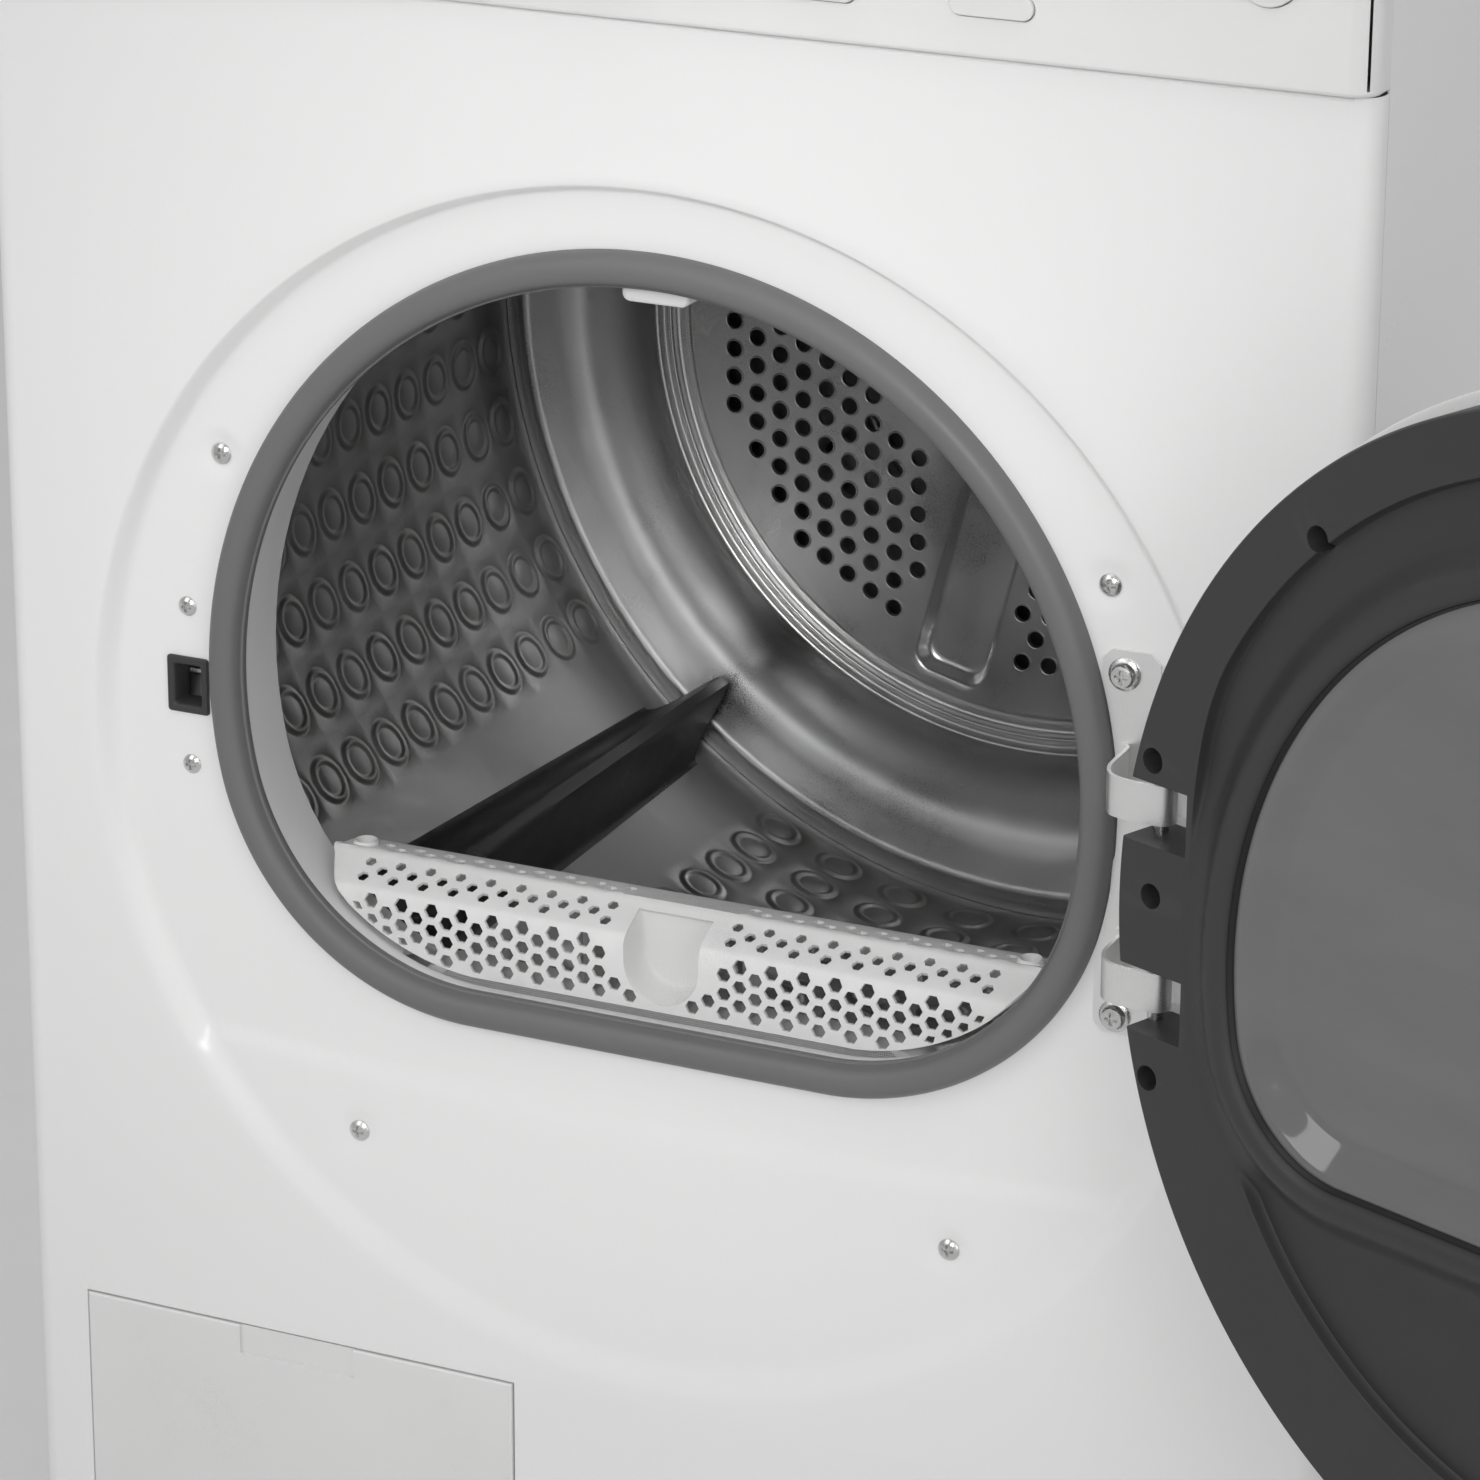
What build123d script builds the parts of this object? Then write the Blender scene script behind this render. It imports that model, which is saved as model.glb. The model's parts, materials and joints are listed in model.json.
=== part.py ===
from build123d import *

# Front-loading tumble dryer with its porthole door swung open.
# Millimetres, +Z up, +X to the right seen from the front, +Y towards the back.
# The origin is on the floor, at the centre of the four levelling feet.

import os
from math import cos, radians, sin, sqrt

# cabinet
CABINET_W = 595.0
CABINET_D = 490.0
CABINET_H = 845.0
HALF_W = CABINET_W / 2
FRONT_Y = -CABINET_D / 2
REAR_Y = CABINET_D / 2
SHEET = 1.2
FOOT_H = 15.0
FOOT_R = 20.0
FOOT_X = 245.0
FOOT_Y = 200.0
PANEL_BOTTOM_Z = 22.0
FASCIA_Z = 735.0
WORKTOP_T = 22.0
WORKTOP_OVERHANG = 6.0

# loading opening, in the floor of the dish pressed into the front panel
OPENING_Z = 440.0
DISH_DEPTH = 8.0
DISH_Y = FRONT_Y + DISH_DEPTH
DISH_R = 257.0
DISH_FLOOR_R = 247.0
DISH_DROP = 26.0
SEAL_R = 202.0
SEAL_FLAT = 137.0
SEAL_CORNER_R = 120.0
SEAL_W = 15.0
SEAL_PROUD = 9.0

# drum
DRUM_Z = OPENING_Z + 62.8
DRUM_R = 283.0
DRUM_SHEET = 0.8
DRUM_FRONT = 45.0
DRUM_REAR = 415.0
BACK_SEAM_R = 269.0
BACK_RING_R = 194.0
BACK_PLATE_R = 175.0
BACK_PLATE_DEPTH = 400.0
LIFTER_ANGLES = (229.35, 109.35, 349.35)
LIFTER_HEIGHT = 42.0
SHAFT_R = 12.0
RUNNING_GAP = 0.05

# door, drawn shut and then swung open
HINGE_X = 232.0
HINGE_DEPTH = -31.0
DOOR_OPEN_DEG = 158.0
DOOR_Z = OPENING_Z - 13.0
DOOR_R = 239.0
DOOR_FACE = -15.5
DOOR_BACK = -40.0
DOOR_FRONT = -54.0
RIM_R = 244.0
GLASS_RISE = -20.0
GLASS_R = 182.0
GLASS_FLAT = 80.0
GLASS_CORNER_R = 58.0
COLLAR_W = 20.0
GASKET_W = 5.0
PIN_R = 3.0
KNUCKLE_R = 5.5
ARM_HEIGHT = 20.0
ARM_RISES = (26.5, -49.0)
NOTCH_HEIGHT = 27.0

# strike and latch
STRIKE_X = -214.0
STRIKE_Z = OPENING_Z - 8.5

# lint filter
FILTER_HALF_W = 150.0
FILTER_TRAY_HALF_W = 116.0
FILTER_FRONT = 12.0
FILTER_TOP = -81.0
FILTER_BOTTOM = -250.0

# drive
MOTOR_X = 170.0
MOTOR_Z = 118.0
MOTOR_R = 55.0
PULLEY_R = 9.0
BELT_T = 2.2
BELT_GAP = 0.35
BELT_DEPTH = 140.0
BELT_W = 12.0
IDLER_R = 15.0
IDLER_ALONG = 50.0
IDLER_PIVOT_X = 62.0
IDLER_PIVOT_Z = 70.0
ROLLER_R = 20.0
ROLLER_ANGLE = 35.0
ROLLER_GAP = 0.35
AXLE_R = 4.0

# services at the back
GLAND_X = 250.0
GLAND_Z = 130.0
GLAND_BORE_R = 4.0
SPIGOT_X = -170.0
SPIGOT_Z = 100.0
SPIGOT_R = 5.0

# controls
KNOB_X = -18.0
CONTROL_Z = 779.0
KNOB_R = 24.0
BUTTON_GAP = 0.5
DRAWER_LEFT = -287.0
DRAWER_RIGHT = -108.0
DRAWER_BOTTOM = 742.0
DRAWER_TOP = 818.0
FLAP_LEFT = -270.0
FLAP_RIGHT = -60.0
FLAP_BOTTOM = 32.0
FLAP_TOP = 146.0

DOOR_SCREWS = ((146, 163), (223, 58), (222, 4), (221, -70), (-146, 163), (-223, 58), (-221, -70))
DISH_SCREWS = ((196, 94), (-196, 94), (135.5, -195), (-135.5, -195))
STRIKE_SCREWS = ((-213.5, 26), (-213.5, -43.5))
HINGE_SCREWS = ((204, 60), (204, -81))


def front_plane(depth, z=OPENING_Z):
    """Plane parallel to the front, depth behind the dish floor: local x is +X and local y is +Z."""
    return Plane(origin=(0, DISH_Y + depth, z), x_dir=(1, 0, 0), z_dir=(0, -1, 0))


def slab(sketch, near, far, z=OPENING_Z):
    """A front-view sketch given thickness, from depth near to depth far."""
    return extrude(front_plane(near, z) * sketch, amount=near - far)


def block(x0, x1, y0, y1, z0, z1):
    """A box between two corners."""
    middle = ((x0 + x1) / 2, (y0 + y1) / 2, (z0 + z1) / 2)
    return Pos(*middle) * Box(x1 - x0, y1 - y0, z1 - z0)


def front_block(x0, x1, near, far, z0, z1):
    """A box whose depth and height are counted from the opening's centre on the dish floor."""
    return block(x0, x1, DISH_Y + near, DISH_Y + far, OPENING_Z + z0, OPENING_Z + z1)


def lathe(profile, x=0.0, z=DRUM_Z):
    """A closed (depth, radius) outline turned about the line along Y through (x, z)."""
    plane = Plane(origin=(x, DISH_Y, z), x_dir=(0, 1, 0), z_dir=(1, 0, 0))
    outline = make_face(plane * Polyline(*profile, close=True))
    return revolve(outline, Axis((x, DISH_Y, z), (0, 1, 0)), 360)


def rod(radius, near, far, x, z):
    """A round bar along Y between two depths."""
    return slab(Pos(x, 0) * Circle(radius), near, far, z)


def ring_bar(outer, inner, near, far, x, z):
    """A tube along Y between two depths."""
    return rod(outer, near, far, x, z) - rod(inner, near, far, x, z)


def d_shape(radius, flat, corner):
    """A circle cut off flat below, its two corners rounded off."""
    shape = Circle(radius) & Pos(0, (radius - flat) / 2) * Rectangle(2 * radius, radius + flat)
    corners = shape.vertices().sort_by(Axis.Y)[:2]
    return fillet(corners, corner)


def mouth(offset=0.0):
    """The outline of the loading opening, grown by offset from the seal's outer edge."""
    return d_shape(SEAL_R + offset, SEAL_FLAT + offset, SEAL_CORNER_R + offset)


def glass_outline(offset=0.0):
    """The outline of the door glass, grown by offset."""
    return Pos(0, GLASS_RISE) * d_shape(GLASS_R + offset, GLASS_FLAT + offset, GLASS_CORNER_R + offset)


def swung(shape):
    """A door part carried from shut to the resting, open position."""
    axis = Axis((HINGE_X, DISH_Y + HINGE_DEPTH, 0), (0, 0, 1))
    return shape.rotate(axis, DOOR_OPEN_DEG)


def shell(x0, x1, y0, y1, z0, z1, wall, radius):
    """A tray open at the top with rounded upright edges."""
    outer = fillet(block(x0, x1, y0, y1, z0, z1).edges().filter_by(Axis.Z), radius)
    inner = block(x0 + wall, x1 - wall, y0 + wall, y1 - wall, z0 + wall, z1 + wall)
    return outer - fillet(inner.edges().filter_by(Axis.Z), max(radius - wall, 0.5))


def pan_screw(x, z, seat, head_r=5.0, head_h=3.0, shank_r=1.9, length=10.0):
    """A screw with a domed head on the plane at depth seat and its shank behind it."""
    profile = (
        (seat - head_h, 0),
        (seat - head_h, head_r * 0.55),
        (seat - head_h * 0.45, head_r * 0.92),
        (seat, head_r),
        (seat, shank_r),
        (seat + length, shank_r),
        (seat + length, 0),
    )
    return lathe(profile, x, OPENING_Z + z)


# ---- cabinet ----


def base_pan():
    pan = shell(-HALF_W + 5, HALF_W - 5, FRONT_Y + 14, REAR_Y - 2, FOOT_H, 60, 3.0, 8)
    for x in (-FOOT_X, FOOT_X):
        for y in (-FOOT_Y, FOOT_Y):
            pan += Pos(x, y, FOOT_H + 12) * Cylinder(12, 24)
            pan -= Pos(x, y, FOOT_H + 12) * Cylinder(5.05, 26)
    post_near = DISH_Y + BELT_DEPTH + BELT_W / 2 + 6
    post = block(IDLER_PIVOT_X - 12, IDLER_PIVOT_X + 12, post_near, post_near + 10, FOOT_H + 2, IDLER_PIVOT_Z + 14)
    pan += post
    return pan - rod(AXLE_R + RUNNING_GAP, BELT_DEPTH, BELT_DEPTH + 40, IDLER_PIVOT_X, IDLER_PIVOT_Z)


def levelling_feet():
    feet = []
    for x in (-FOOT_X, FOOT_X):
        for y in (-FOOT_Y, FOOT_Y):
            pad = Pos(x, y, 5) * Cylinder(FOOT_R, 10)
            nut = extrude(Pos(x, y, 10) * RegularPolygon(9, 6), amount=FOOT_H - 10)
            stem = Pos(x, y, FOOT_H + 9) * Cylinder(5, 20)
            feet.append(pad + nut + stem)
    return Compound(children=feet)


def side_panel(side):
    """side is -1 for the left panel and 1 for the right one."""
    outer = side * HALF_W
    inner = side * (HALF_W - 1)
    x0, x1 = sorted((outer, inner))
    top = CABINET_H - WORKTOP_T
    panel = block(x0, x1, FRONT_Y + 13.5, REAR_Y, PANEL_BOTTOM_Z, top)
    flange0, flange1 = sorted((side * (HALF_W - 14), inner))
    panel += block(flange0, flange1, REAR_Y - 1, REAR_Y, 64, top)
    panel += block(flange0, flange1, FRONT_Y + 13.5, FRONT_Y + 14.5, 155, FASCIA_Z - 10)
    panel += block(flange0, flange1, FRONT_Y + 13.5, REAR_Y, top - 1, top)
    for rib_y in (-120, 0, 120):
        rib = block(x0, x1, rib_y - 14, rib_y + 14, 130, top - 120)
        panel += Pos(-side * 1.0, 0, 0) * fillet(rib.edges().filter_by(Axis.X), 13.5)
    return panel


def front_panel():
    """Pressed skin with rounded upright edges, a round dish and the loading opening."""
    z0, z1 = PANEL_BOTTOM_Z, FASCIA_Z
    body = block(-HALF_W, HALF_W, FRONT_Y, FRONT_Y + 13, z0, z1)
    fronts = body.edges().filter_by(Axis.Z).sort_by(Axis.Y)[:2]
    body = fillet(fronts, 9)
    hollow = block(-HALF_W + SHEET, HALF_W - SHEET, FRONT_Y + SHEET, FRONT_Y + 14, z0 + SHEET, z1 - SHEET)
    fronts = hollow.edges().filter_by(Axis.Z).sort_by(Axis.Y)[:2]
    panel = body - fillet(fronts, 9 - SHEET)
    dish_z = OPENING_Z - DISH_DROP
    panel -= rod(DISH_R, -DISH_DEPTH - 1, 1, 0, dish_z)
    near, wall = -DISH_DEPTH, SHEET
    panel += lathe(
        (
            (near, DISH_R + 1),
            (near, DISH_R),
            (0, DISH_FLOOR_R),
            (0, 0),
            (wall, 0),
            (wall, DISH_FLOOR_R + 1),
            (near + wall, DISH_R + 1),
        ),
        0,
        dish_z,
    )
    panel -= slab(mouth(-8), -2, 4)
    panel -= front_block(STRIKE_X - 8.3, STRIKE_X + 8.3, -2, 4, -19.3, 2.3)
    panel -= block(FLAP_LEFT, FLAP_RIGHT, FRONT_Y - 1, FRONT_Y + 2, FLAP_BOTTOM, FLAP_TOP)
    for x, z in DISH_SCREWS + STRIKE_SCREWS + HINGE_SCREWS:
        panel -= rod(2.1, -3, 4, x, OPENING_Z + z)
    return panel


def worktop():
    top = block(-HALF_W, HALF_W, FRONT_Y - WORKTOP_OVERHANG, REAR_Y, CABINET_H - WORKTOP_T, CABINET_H)
    top = fillet(top.edges().filter_by(Axis.Z), 10)
    top = fillet(top.faces().sort_by(Axis.Z)[-1].edges(), 3)
    inner_y0, inner_z1 = FRONT_Y + 22, CABINET_H - 16
    return top - block(-HALF_W + 20, HALF_W - 20, inner_y0, REAR_Y - 20, CABINET_H - WORKTOP_T - 1, inner_z1)


def rear_panel():
    panel = block(-HALF_W + 1.5, HALF_W - 1.5, REAR_Y, REAR_Y + 1, 62, CABINET_H - WORKTOP_T - 1)
    for slot_x in range(-5, 6):
        x = slot_x * 22
        panel -= block(x - 4, x + 4, REAR_Y - 1, REAR_Y + 2, 740, 800)
    near = REAR_Y - DISH_Y
    for index in range(10):
        window = Rot(0, 0, 36 * index) * Pos(150, 0) * RectangleRounded(44, 30, 8)
        panel -= slab(window, near - 1, near + 2, DRUM_Z)
    panel -= rod(22.0, near - 1, near + 2, 0, DRUM_Z)
    panel -= slab(Pos(MOTOR_X, 60) * RectangleRounded(70, 60, 8), near - 1, near + 2, MOTOR_Z)
    panel -= rod(9.05, near - 1, near + 2, GLAND_X, GLAND_Z)
    return panel - rod(5.3, near - 1, near + 2, SPIGOT_X, SPIGOT_Z)


def rear_duct_cover():
    near = REAR_Y + 1 - DISH_Y

    def outline(inset):
        outlet = Pos(MOTOR_X, MOTOR_Z + 62 - DRUM_Z) * Circle(54 - inset)
        return make_hull((Circle(190 - inset) + outlet).edges())

    cover = slab(outline(0), near, near + 52, DRUM_Z)
    cover = fillet(cover.faces().sort_by(Axis.Y)[-1].edges(), 10)
    rim = slab(outline(-10), near, near + 1.5, DRUM_Z)
    inner = slab(outline(1.6), near - 1, near + 50.4, DRUM_Z)
    inner = fillet(inner.faces().sort_by(Axis.Y)[-1].edges(), 8.4)
    return cover + rim - inner


def mains_inlet():
    near = REAR_Y + 1 - DISH_Y
    gland = rod(12, near, near + 5, GLAND_X, GLAND_Z) + rod(9, near - 8, near + 14, GLAND_X, GLAND_Z)
    return gland - rod(GLAND_BORE_R, near - 20, near + 20, GLAND_X, GLAND_Z)


# ---- control band ----

BUTTON_SPOTS = {
    "power_button": (214.0, CONTROL_Z, 8.0, 8.0),
    "start_button": (256.0, CONTROL_Z, 13.0, 13.0),
    "option_button_1": (76.0, 756.0, 17.0, 4.5),
    "option_button_2": (148.0, 756.0, 17.0, 4.5),
}
DISPLAY = (38.0, 186.0, 772.0, 806.0)
FASCIA_FRONT = -DISH_DEPTH - 5.0


def button_outline(name, grow=0.0):
    x, z, half_w, half_h = BUTTON_SPOTS[name]
    shape = RectangleRounded(2 * (half_w + grow), 2 * (half_h + grow), half_h + grow - 0.01)
    return Pos(x, z - CONTROL_Z) * shape


def control_fascia():
    front, back = FASCIA_FRONT, FASCIA_FRONT + 18.4
    outer = slab(Rectangle(CABINET_W, CABINET_H - WORKTOP_T - FASCIA_Z - 1), front, back, CONTROL_Z)
    outer = fillet(outer.edges().filter_by(Axis.Z).sort_by(Axis.Y)[:2], 10)
    outer = fillet(outer.faces().sort_by(Axis.Y)[0].edges().filter_by(Axis.X), 2)
    height = CABINET_H - WORKTOP_T - FASCIA_Z - 6
    outer -= slab(Rectangle(CABINET_W - 5, height), front + 2.5, back + 1, CONTROL_Z)
    x = (DRAWER_LEFT + DRAWER_RIGHT) / 2
    z = (DRAWER_BOTTOM + DRAWER_TOP) / 2 - CONTROL_Z
    drawer = Pos(x, z) * Rectangle(DRAWER_RIGHT - DRAWER_LEFT + 1, DRAWER_TOP - DRAWER_BOTTOM + 1)
    outer -= slab(drawer, front - 1, front + 4, CONTROL_Z)
    x0, x1, z0, z1 = DISPLAY
    outer -= block(x0, x1, DISH_Y + front - 1, DISH_Y + front + 4, z0, z1)
    for name in BUTTON_SPOTS:
        outer -= slab(button_outline(name, BUTTON_GAP), front - 1, front + 4, CONTROL_Z)
    return outer - rod(4.6, front - 1, front + 4, KNOB_X, CONTROL_Z)


def display_window():
    x0, x1, z0, z1 = DISPLAY
    y = DISH_Y + FASCIA_FRONT
    lens = block(x0, x1, y - 0.4, y + 2.5, z0, z1)
    return lens + block(x0 - 3, x1 + 3, y + 2.5, y + 4, z0 - 3, z1 + 3)


def button(name):
    front = FASCIA_FRONT
    cap = slab(button_outline(name), front - 1.8, front + 9, CONTROL_Z)
    return fillet(cap.faces().sort_by(Axis.Y)[0].edges(), 0.8)


def programme_knob():
    front = FASCIA_FRONT
    knob = lathe(
        (
            (front - 0.5, 0),
            (front - 0.5, KNOB_R),
            (front - 3, KNOB_R),
            (front - 17, KNOB_R - 2.5),
            (front - 19, KNOB_R - 4.5),
            (front - 19, 0),
        ),
        KNOB_X,
        CONTROL_Z,
    )
    for index in range(36):
        angle = radians(10 * index)
        x = KNOB_X + (KNOB_R + 0.4) * cos(angle)
        knob -= rod(1.2, front - 16, front - 3.5, x, CONTROL_Z + (KNOB_R + 0.4) * sin(angle))
    knob -= block(KNOB_X - 1.2, KNOB_X + 1.2, DISH_Y + front - 20, DISH_Y + front - 17.8, 786, 797)
    return knob + rod(4, front - 1, front + 14, KNOB_X, CONTROL_Z)


# ---- water container ----


def water_container():
    z0 = DRAWER_TOP - 43
    y0, y1 = DISH_Y + FASCIA_FRONT + 7, 120
    tank = block(DRAWER_LEFT + 4, DRAWER_RIGHT - 4, y0, y1, z0, DRAWER_TOP - 2)
    tank = fillet(tank.edges().filter_by(Axis.Z), 8)
    cavity = block(DRAWER_LEFT + 6, DRAWER_RIGHT - 6, y0 + 2, y1 - 2, z0 + 2, DRAWER_TOP - 4)
    tank -= fillet(cavity.edges().filter_by(Axis.Z), 6)
    return tank - block(DRAWER_LEFT + 14, DRAWER_RIGHT - 14, 20, 108, z0 + 20, DRAWER_TOP)


def container_front():
    y = DISH_Y + FASCIA_FRONT
    face = block(DRAWER_LEFT, DRAWER_RIGHT, y - 1.5, y + 7.0, DRAWER_BOTTOM, DRAWER_TOP)
    face = fillet(face.faces().sort_by(Axis.Y)[0].edges(), 1.2)
    x = (DRAWER_LEFT + DRAWER_RIGHT) / 2
    grip = block(x - 52, x + 52, y - 3, y + 4.5, DRAWER_BOTTOM - 1, DRAWER_BOTTOM + 22)
    return face - fillet(grip.edges().filter_by(Axis.Y).sort_by(Axis.Z)[-2:], 10)


def container_tray():
    z0 = DRAWER_TOP - 43 - 0.6 - 2
    y0, y1 = FRONT_Y + 10, 130
    floor = block(DRAWER_LEFT - 1, DRAWER_RIGHT + 3, y0, y1, z0, z0 + 2)
    floor += block(DRAWER_LEFT - 1, DRAWER_LEFT + 1, y0, y1, z0, DRAWER_TOP)
    floor += block(DRAWER_RIGHT + 1, DRAWER_RIGHT + 3, y0, y1, z0, DRAWER_TOP)
    return floor


# ---- service flap ----

FLAP_AXIS_Z = FLAP_BOTTOM + 6.0
FLAP_AXIS_DEPTH = -DISH_DEPTH + 5.0


def service_flap():
    y = FRONT_Y
    gap, heel_gap = 0.7, 1.75
    x0, x1 = FLAP_LEFT + gap, FLAP_RIGHT - gap
    flap = block(x0, x1, y - 0.8, y + 1.8, FLAP_BOTTOM + heel_gap, FLAP_TOP - gap)
    flap = fillet(flap.faces().sort_by(Axis.Y)[0].edges(), 1.0)
    middle = (x0 + x1) / 2
    flap -= block(middle - 28, middle + 28, y - 2, y + 0.8, FLAP_TOP - 14, FLAP_TOP)
    axis_y = DISH_Y + FLAP_AXIS_DEPTH
    for x in (x0 + 20, x1 - 20):
        knuckle = Pos(x, axis_y, FLAP_AXIS_Z) * Rot(0, 90, 0) * Cylinder(3.2, 22)
        web = block(x - 11, x + 11, y + 1, axis_y, FLAP_AXIS_Z - 3.2, FLAP_AXIS_Z + 3.2)
        bore = Pos(x, axis_y, FLAP_AXIS_Z) * Rot(0, 90, 0) * Cylinder(1.6, 30)
        flap += knuckle + web
        flap -= bore
    return flap


def flap_pins():
    pins = []
    axis_y = DISH_Y + FLAP_AXIS_DEPTH
    for x in (FLAP_LEFT + 20.7, FLAP_RIGHT - 20.7):
        pin = Pos(x, axis_y, FLAP_AXIS_Z) * Rot(0, 90, 0) * Cylinder(1.5, 34)
        for side in (-1, 1):
            ear_x = x + side * 14.5
            pin += block(ear_x - 1.5, ear_x + 1.5, axis_y - 2, axis_y + 8.4, FLAP_AXIS_Z - 2, FLAP_AXIS_Z + 2)
        pin += block(x - 16, x + 16, axis_y + 5.4, axis_y + 8.4, FLAP_AXIS_Z - 2, FLAP_AXIS_Z + 2)
        pins.append(pin)
    return Compound(children=pins)


# ---- loading mouth ----


def front_bulkhead():
    """Collar that lines the opening, and the plate behind it that carries the drum's front."""
    plate_near, plate_far = 37.0, 40.0
    plate = slab(Pos(0, 50) * RectangleRounded(576, 560, 12), plate_near, plate_far)
    plate -= slab(mouth(-7), plate_near - 1, plate_far + 1)
    outer = loft([front_plane(2) * mouth(-11.5), front_plane(plate_near + 1) * mouth(-4.5)])
    inner = loft([front_plane(1.9) * mouth(-14.02), front_plane(plate_far + 1) * mouth(-6.5)])
    bulkhead = plate + (outer - inner)
    land = ring_bar(279, 276.5, plate_far - 1, 58, 0, DRUM_Z)
    bulkhead += land
    bulkhead -= inner
    for x, z in DISH_SCREWS + HINGE_SCREWS + STRIKE_SCREWS:
        bulkhead += ring_bar(6.0, 2.0, SHEET + 0.1, plate_near + 1, x, OPENING_Z + z)
    pocket_half = FILTER_TRAY_HALF_W + 6.5
    bulkhead -= front_block(-pocket_half, pocket_half, 11.4, plate_near, -270, -117)
    for x, z in roller_centres():
        bulkhead -= rod(AXLE_R, plate_near - 1, plate_far + 1, x, z)
    slot = front_block(-18, 18, 1, 24, 178, 192)
    return bulkhead - slot


def door_seal():
    ring = slab(mouth(), -SEAL_PROUD, 0) - slab(mouth(-SEAL_W), -SEAL_PROUD - 1, 1)
    return fillet(ring.faces().sort_by(Axis.Y)[0].edges(), 5.5)


def drum_felt():
    return ring_bar(282.6, 279, 44, 56, 0, DRUM_Z)


def lamp_lens():
    lens = slab(Pos(0, 184) * RectangleRounded(29, 9, 4.4), 5, 20)
    return fillet(lens.faces().sort_by(Axis.Y)[0].edges(), 2)


FILTER_PROFILE = ((12, -136), (12, -93), (27, -83), (31, FILTER_TOP), (50, -84), (50, -100), (36.5, -127), (36.5, -136))


def filter_prism(profile, half_w):
    """A (depth, rise) outline drawn out across the machine."""
    plane = Plane(origin=(-half_w, DISH_Y, OPENING_Z), x_dir=(0, 1, 0), z_dir=(1, 0, 0))
    return extrude(make_face(plane * Polyline(*profile, close=True)), amount=2 * half_w, dir=(1, 0, 0))


def filter_cassette():
    """Upper lid shaped to the mouth, on a flat pocket that drops into the housing."""
    lid = filter_prism(FILTER_PROFILE, FILTER_HALF_W + 8) & slab(mouth(-15.5), 0, 60)
    hollow = ((14, -140), (14, -94), (28, -85), (31, -83), (48, -86), (48, -101), (34.5, -128), (34.5, -140))
    lid -= filter_prism(hollow, FILTER_HALF_W + 6) & slab(mouth(-17.5), 0, 60)
    half = FILTER_TRAY_HALF_W
    pocket = front_block(-half, half, 15, 33.5, FILTER_BOTTOM, -120)
    pocket = fillet(pocket.edges().filter_by(Axis.Y), 12)
    lid += pocket
    lid -= front_block(-half + 2, half - 2, 17, 31.5, FILTER_BOTTOM + 2, -118)
    recess = Pos(0, -93) * (Pos(0, -8) * Circle(17) + Pos(0, 6) * Rectangle(34, 28))
    lid -= slab(recess, 5, 26)
    floor = slab(recess, 26, 28) & slab(mouth(-15.5), 0, 60)
    lid += floor & filter_prism(FILTER_PROFILE, FILTER_HALF_W)
    for side in (-1, 1):
        peg = Pos(side * 146, DISH_Y + 38, OPENING_Z - 84) * Cylinder(5, 6)
        lid += peg - Pos(side * 146, DISH_Y + 38, OPENING_Z - 78) * Sphere(4.5)
    return lid


def filter_housing():
    half = FILTER_TRAY_HALF_W + 4
    body = front_block(-half - 2, half + 2, 12, 36.5, FILTER_BOTTOM - 6, -140)
    body = fillet(body.edges().filter_by(Axis.Y), 12)
    cavity = front_block(-half, half, 13.8, 34.7, FILTER_BOTTOM - 4, -130)
    return body - fillet(cavity.edges().filter_by(Axis.Y).sort_by(Axis.Z)[:2], 10)


# ---- strike and catch ----


def strike_socket():
    """A moulded frame on the dish floor with a funnel pocket behind it."""
    x, rise = STRIKE_X, STRIKE_Z - OPENING_Z
    frame = front_block(x - 10, x + 10, -1.5, 0, rise - 12.5, rise + 12.5)
    frame = fillet(frame.edges().filter_by(Axis.Y), 1.5)
    pocket = front_block(x - 8, x + 8, 0, 28, rise - 10.5, rise + 10.5)
    cavity = front_block(x - 6.5, x + 6.5, -2, 26.5, rise - 9, rise + 9)
    return frame + pocket - cavity


def latch_catch():
    rise = STRIKE_Z - OPENING_Z
    bolt = front_block(STRIKE_X - 6, STRIKE_X + 6, 9, 24, rise + 1.2, rise + 4.7)
    return fillet(bolt.edges().filter_by(Axis.X).sort_by(Axis.Y)[:2], 1.6)


# ---- hinge on the cabinet ----


def arm(rise):
    """A strip that leaves the plate, joggles forward and curls round the pin."""
    z0 = OPENING_Z + rise - ARM_HEIGHT / 2
    plane = Plane(origin=(0, DISH_Y, z0))
    outline = Polyline(
        (208, -1.5),
        (208, 0),
        (219, 0),
        (222, -5),
        (225.5, -20),
        (228, -31),
        (226, -31),
        (223.5, -20.5),
        (220, -6),
        (217.5, -1.5),
        close=True,
    )
    strip = extrude(plane * make_face(outline), amount=ARM_HEIGHT, dir=(0, 0, 1))
    curl = Pos(HINGE_X, HINGE_DEPTH) * (Circle(KNUCKLE_R) - Circle(PIN_R + RUNNING_GAP))
    knuckle = extrude(plane * curl, amount=ARM_HEIGHT, dir=(0, 0, 1))
    bore = extrude(plane * (Pos(HINGE_X, HINGE_DEPTH) * Circle(KNUCKLE_R - 1)), amount=ARM_HEIGHT, dir=(0, 0, 1))
    return strip - bore + knuckle


def hinge_plate():
    plate = slab(Pos(206.5, -9.5) * RectangleRounded(25, 159, 4) - mouth(0.4), -1.5, 0)
    for rise in ARM_RISES:
        plate += arm(rise)
    for x, z in HINGE_SCREWS:
        plate -= rod(2.1, -3, 1, x, OPENING_Z + z)
    return plate


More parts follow.
